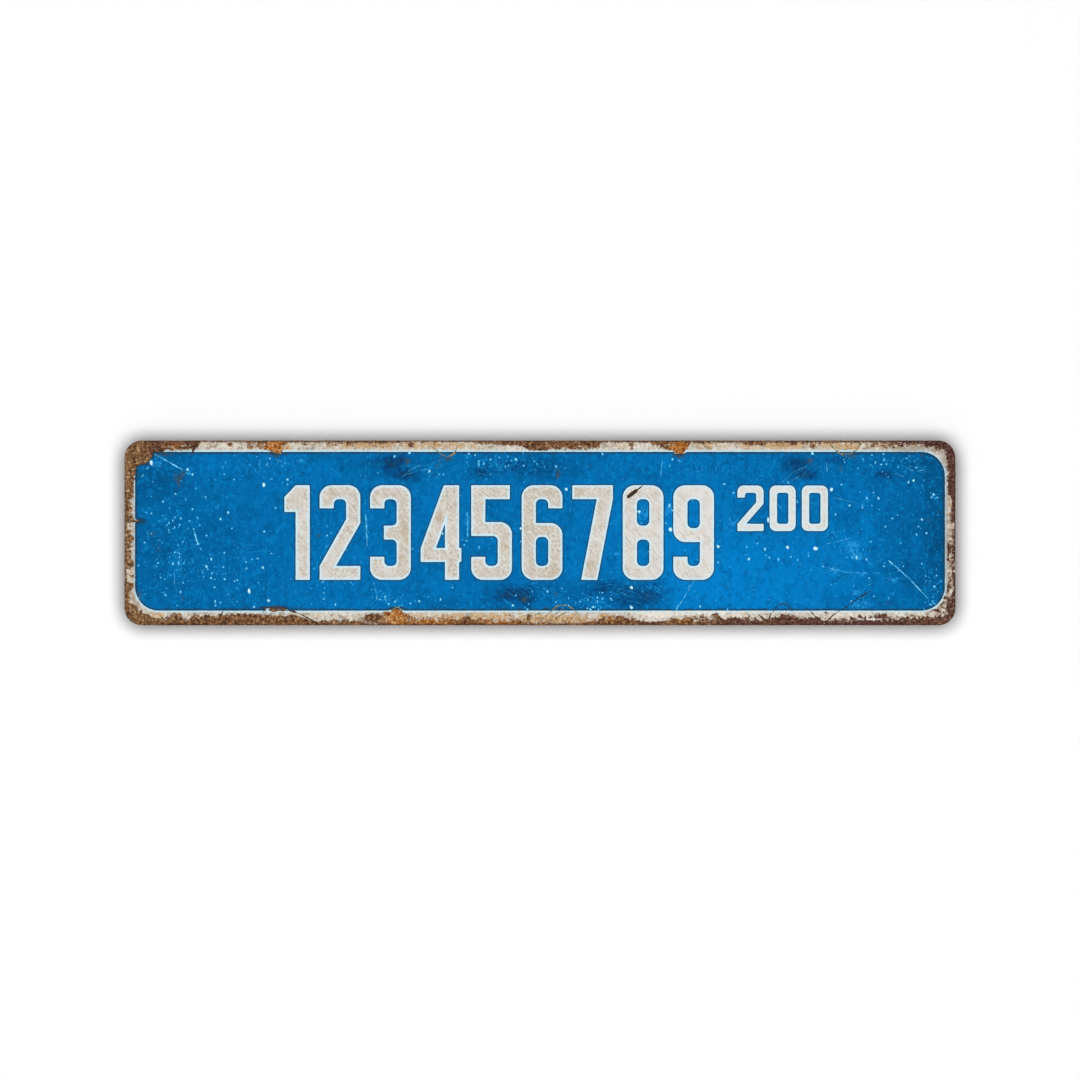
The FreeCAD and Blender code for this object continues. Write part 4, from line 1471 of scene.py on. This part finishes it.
def build_scratches(sizes):
    """The pale scratches that can be told apart, then fields of hairlines.

    A hairline starts near its field's centre, leans within a few degrees of the field's
    own lean and bows a little to one side.
    """
    pale = line_finish("pale_enamel_scratched", "#12A4F0", "#86E8FF")
    ribbons("pale_scratches", PALE_SCRATCHES, sizes, pale, 3)
    rng = np.random.default_rng(17)
    top, bottom = 454, 607
    tracks = []
    for cx, cy, wide, tall, lean, length, count in HAIRLINES:
        for _ in range(count):
            angle = math.radians(lean + rng.normal() * 9)
            half = length * rng.uniform(0.25, 0.65)
            dx, dy = half * math.cos(angle), -half * math.sin(angle)
            mx = cx + wide * rng.uniform(-1, 1)
            my = cy + tall * rng.uniform(-1, 1)
            my = np.clip(my, top + abs(dy), bottom - abs(dy))
            bow = rng.normal() * 0.06
            middle = (mx - dy * bow, my + dx * bow)
            width = rng.uniform(0.035, 0.075)
            tracks.append((width, (mx - dx, my - dy), middle, (mx + dx, my + dy)))
    faint = line_finish("blue_enamel_hairline_scratched", "#0A90DC", "#2CB4F4")
    ribbons("hairlines", tracks, sizes, faint, 18, 1.6 * MM, 0.02 * MM, 0.02 * MM)


def build_cracks(sizes):
    """Cracks through the coats, each sort with the colour that has crept into it."""
    dark = line_finish("cracked_enamel_rust_filled", "#2E2019", "#57402F")
    ribbons("dark_cracks", DARK_CRACKS, sizes, dark, 4)
    darker_patch = line_finish("cracked_enamel_grime_filled", "#0F2F48", "#27485C")
    ribbons("grimy_cracks", GRIMY_CRACKS, sizes, darker_patch, 5)
    ochre = line_finish("cracked_enamel_ochre", "#5C6650", "#8E8864")
    ribbons("ochre_cracks", OCHRE_CRACKS, sizes, ochre, 6)


# The add-on's settings.
def length_setting(name, description, default):
    """A length that the user can change."""
    return bpy.props.FloatProperty(
        name=name, description=description, default=default, unit="LENGTH", precision=5
    )


def colour_setting(name, description, code):
    """A colour that the user can change."""
    return bpy.props.FloatVectorProperty(
        name=name, description=description, default=colour(code), size=4, subtype="COLOR"
    )


class SignSizes(bpy.types.PropertyGroup):
    sheet_length: length_setting(
        "Length", "Sheet, left end to right end", CAD_HIGH.x - CAD_LOW.x
    )
    sheet_height: length_setting(
        "Height", "Sheet, lower edge to upper edge", CAD_HIGH.z - CAD_LOW.z
    )
    corner_radius: length_setting("Corner radius", "Round corners of the sheet", 9.5 * MM)
    side_margin: length_setting("Side margin", "From either end to the blue", 5.8 * MM)
    top_margin: length_setting("Top margin", "From the upper edge to the blue", 6.2 * MM)
    bottom_margin: length_setting(
        "Bottom margin", "From the lower edge to the blue", 8.0 * MM
    )
    field_radius: length_setting("Field radius", "Round corners of the blue", 13.2 * MM)
    numeral_height: length_setting("Numeral height", "Large numerals", 52.0 * MM)
    number: bpy.props.StringProperty(
        name="Number", description="Large plain number, digits only", default="123456789"
    )
    small_number: bpy.props.StringProperty(
        name="Small number", description="Small plain number after it", default="200"
    )


class SignColours(bpy.types.PropertyGroup):
    blue: colour_setting("Blue", "Blue enamel of the field", "#006CAE")
    cream: colour_setting("Cream", "Cream enamel of the border", "#CBC4B8")
    numerals: colour_setting("Numerals", "Enamel of the numerals", "#D1CDC4")
    rust: colour_setting("Rust", "Middle tone of the rust", "#6F4A30")
    back: colour_setting("Back", "Ground coat of the back", "#3A4148")


class SIGN_OT_steel_sheet(bpy.types.Operator):
    """Build the rusted steel sheet"""

    bl_idname = "sign.steel_sheet"
    bl_label = "Steel sheet"

    def execute(self, context):
        build_steel_sheet(context.scene.sign_sizes, context.scene.sign_colours)
        return {"FINISHED"}


class SIGN_OT_cream_border(bpy.types.Operator):
    """Build the flaked cream coat of the border"""

    bl_idname = "sign.cream_border"
    bl_label = "Cream border"

    def execute(self, context):
        build_cream_border(context.scene.sign_sizes, context.scene.sign_colours)
        return {"FINISHED"}


class SIGN_OT_blue_field(bpy.types.Operator):
    """Build the blue coat"""

    bl_idname = "sign.blue_field"
    bl_label = "Blue field"

    def execute(self, context):
        build_blue_field(context.scene.sign_sizes, context.scene.sign_colours)
        return {"FINISHED"}


class SIGN_OT_numerals(bpy.types.Operator):
    """Build both numbers, one piece for each numeral"""

    bl_idname = "sign.numerals"
    bl_label = "Numerals"

    def execute(self, context):
        build_numerals(context.scene.sign_sizes, context.scene.sign_colours)
        return {"FINISHED"}


class SIGN_OT_chips(bpy.types.Operator):
    """Build the pale chips and the dark one"""

    bl_idname = "sign.chips"
    bl_label = "Chips"

    def execute(self, context):
        build_pale_chips(context.scene.sign_sizes)
        build_dark_chip()
        return {"FINISHED"}


class SIGN_OT_scratches(bpy.types.Operator):
    """Build the scratches and the hairlines"""

    bl_idname = "sign.scratches"
    bl_label = "Scratches"

    def execute(self, context):
        build_scratches(context.scene.sign_sizes)
        return {"FINISHED"}


class SIGN_OT_cracks(bpy.types.Operator):
    """Build the cracks"""

    bl_idname = "sign.cracks"
    bl_label = "Cracks"

    def execute(self, context):
        build_cracks(context.scene.sign_sizes)
        return {"FINISHED"}


class SIGN_OT_stage(bpy.types.Operator):
    """Build the floor, the wall, the lamps and the camera"""

    bl_idname = "sign.stage"
    bl_label = "Stage"

    def execute(self, context):
        build_floor_and_wall()
        build_lights(context.scene)
        build_camera(context.scene)
        return {"FINISHED"}


class SIGN_PT_panel(bpy.types.Panel):
    """The sign's settings and its pieces, in the sidebar"""

    bl_label = "Street Name Sign"
    bl_idname = "SIGN_PT_panel"
    bl_space_type = "VIEW_3D"
    bl_region_type = "UI"
    bl_category = "Sign"

    def draw(self, context):
        scene = context.scene
        for settings in (scene.sign_sizes, scene.sign_colours):
            for name in type(settings).__annotations__:
                self.layout.prop(settings, name)
        for operator in OPERATORS:
            self.layout.operator(operator.bl_idname)


# Stage.
def flat_sheet(name, corners, material):
    """A single upright or level rectangle that belongs to the stage."""
    mesh = bpy.data.meshes.new(name)
    mesh.from_pydata(corners, [], [(0, 1, 2, 3)])
    mesh.materials.append(material)
    sheet = bpy.data.objects.new(name, mesh)
    bpy.context.scene.collection.objects.link(sheet)
    return sheet


def build_floor_and_wall():
    """A pale floor, and a white wall close behind the sign.

    The wall's own material paints a soft shadow: it darkens close to the sign. The wall
    shows only to the camera, and only from the front, so that it neither lights the
    sign nor hides its back.
    """
    reach = 3.0
    floor = -2.1
    behind = 9 * MM
    shade_reach = 12.5 * MM
    corners = [(-reach, -reach), (reach, -reach), (reach, reach), (-reach, reach)]

    pale = Finish("matt_pale_floor", "#F0F0EF")
    pale.lay("#E9E9E8", 4, 0.5, 0.7)
    pale.end(gloss=50, relief=4, depth=0.05, roughness=(0.85, 0.95), specular=0.1)
    flat_sheet("floor", [(x, y, floor) for x, y in corners], pale.material)

    white = Finish("matt_white_wall_painted_shadow")
    tree = white.tree
    # Painted shadow: the ambient occlusion ramp darkens the wall's colour near the sign,
    # warm-tinted at its darkest.
    shade = add_node(tree, "ShaderNodeAmbientOcclusion", {"Distance": shade_reach}, samples=4)
    near, middle = (0.21, 0.135, 0.08, 1.0), (0.575, 0.568, 0.562, 1.0)
    stops = ((0.25, "#180000"), (0.5, near), (0.75, middle), (1.0, "#FFFFFF"))
    grey = add_node(tree, "ShaderNodeValToRGB", {"Fac": shade.outputs["AO"]}, stops)
    sockets = {"Base Color": grey, "Roughness": 1.0, "Specular IOR Level": 0.0}
    shader = add_node(tree, "ShaderNodeBsdfPrincipled", sockets)
    clear = add_node(tree, "ShaderNodeBsdfTransparent")
    side = add_node(tree, "ShaderNodeNewGeometry").outputs["Backfacing"]
    both = add_node(tree, "ShaderNodeMixShader", {0: side, 1: shader, 2: clear})
    add_node(tree, "ShaderNodeOutputMaterial", {"Surface": both})
    wall = flat_sheet("wall", [(x, behind, y) for x, y in corners], white.material)
    wall.visible_diffuse = False
    wall.visible_glossy = False
    wall.visible_transmission = False
    wall.visible_shadow = False


def soft_lamp(name, place, width, height, power):
    """A large rectangular lamp that looks at the sign's centre."""
    light = bpy.data.lights.new(name, "AREA")
    light.shape = "RECTANGLE"
    light.size = width
    light.size_y = height
    light.energy = power
    lamp = bpy.data.objects.new(name, light)
    lamp.location = place
    lamp.rotation_euler = (-Vector(place)).to_track_quat("-Z", "Y").to_euler()
    lamp.visible_camera = False
    bpy.context.scene.collection.objects.link(lamp)


def build_lights(scene):
    """A white room, dim for what it lights, one broad lamp in front, a small one from
    the upper left and one behind for the back."""
    world = bpy.data.worlds.new("white_room")
    scene.world = world
    world.use_nodes = True
    tree = world.node_tree
    tree.nodes.clear()
    path = add_node(tree, "ShaderNodeLightPath")
    seen = path.outputs["Is Camera Ray"]
    for ray in ("Is Glossy Ray", "Is Transmission Ray"):
        sockets = {0: seen, 1: path.outputs[ray]}
        seen = add_node(tree, "ShaderNodeMath", sockets, operation="MAXIMUM")
    strength = add_node(tree, "ShaderNodeMapRange", {"Value": seen, "To Min": 0.16})
    sky = add_node(tree, "ShaderNodeBackground", {"Color": "#FFFFFF", "Strength": strength})
    add_node(tree, "ShaderNodeOutputWorld", {"Surface": sky})

    soft_lamp("front_lamp", (0.0, -2.2, 0.0), 3.96, 3.96, 74.5)
    soft_lamp("left_lamp", (-0.6, -2.1, 1.4), 1.0, 1.0, 3.6)
    soft_lamp("back_lamp", (0.0, 2.4, 1.2), 3.0, 3.0, 55.0)


def build_camera(scene):
    """The camera looks straight at the sign. The picture's frame is 594 mm wide there
    and centred 3.9 mm below the sign's centre."""
    data = bpy.data.cameras.new("camera")
    data.lens = 600.0
    distance = data.lens * PICTURE_SIZE * PIXEL / data.sensor_width
    camera = bpy.data.objects.new("camera", data)
    camera.location = (across(PICTURE_MIDDLE), -distance - BLUE_FRONT, up(PICTURE_MIDDLE))
    camera.rotation_euler = (math.pi / 2, 0.0, 0.0)
    scene.collection.objects.link(camera)
    scene.camera = camera
    scene.view_settings.view_transform = "Standard"


OPERATORS = (
    SIGN_OT_steel_sheet,
    SIGN_OT_cream_border,
    SIGN_OT_blue_field,
    SIGN_OT_numerals,
    SIGN_OT_chips,
    SIGN_OT_scratches,
    SIGN_OT_cracks,
    SIGN_OT_stage,
)
CLASSES = (SignSizes, SignColours, *OPERATORS, SIGN_PT_panel)


def register():
    for cls in CLASSES:
        bpy.utils.register_class(cls)
    bpy.types.Scene.sign_sizes = bpy.props.PointerProperty(type=SignSizes)
    bpy.types.Scene.sign_colours = bpy.props.PointerProperty(type=SignColours)


def unregister():
    del bpy.types.Scene.sign_colours
    del bpy.types.Scene.sign_sizes
    for cls in reversed(CLASSES):
        bpy.utils.unregister_class(cls)


def corners(box):
    """A box's two corners as plain lists."""
    return [list(corner) for corner in box]


def main():
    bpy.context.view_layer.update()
    register()
    for operator in OPERATORS:
        group, name = operator.bl_idname.split(".")
        getattr(getattr(bpy.ops, group), name)()


if __name__ == "__main__":
    main()
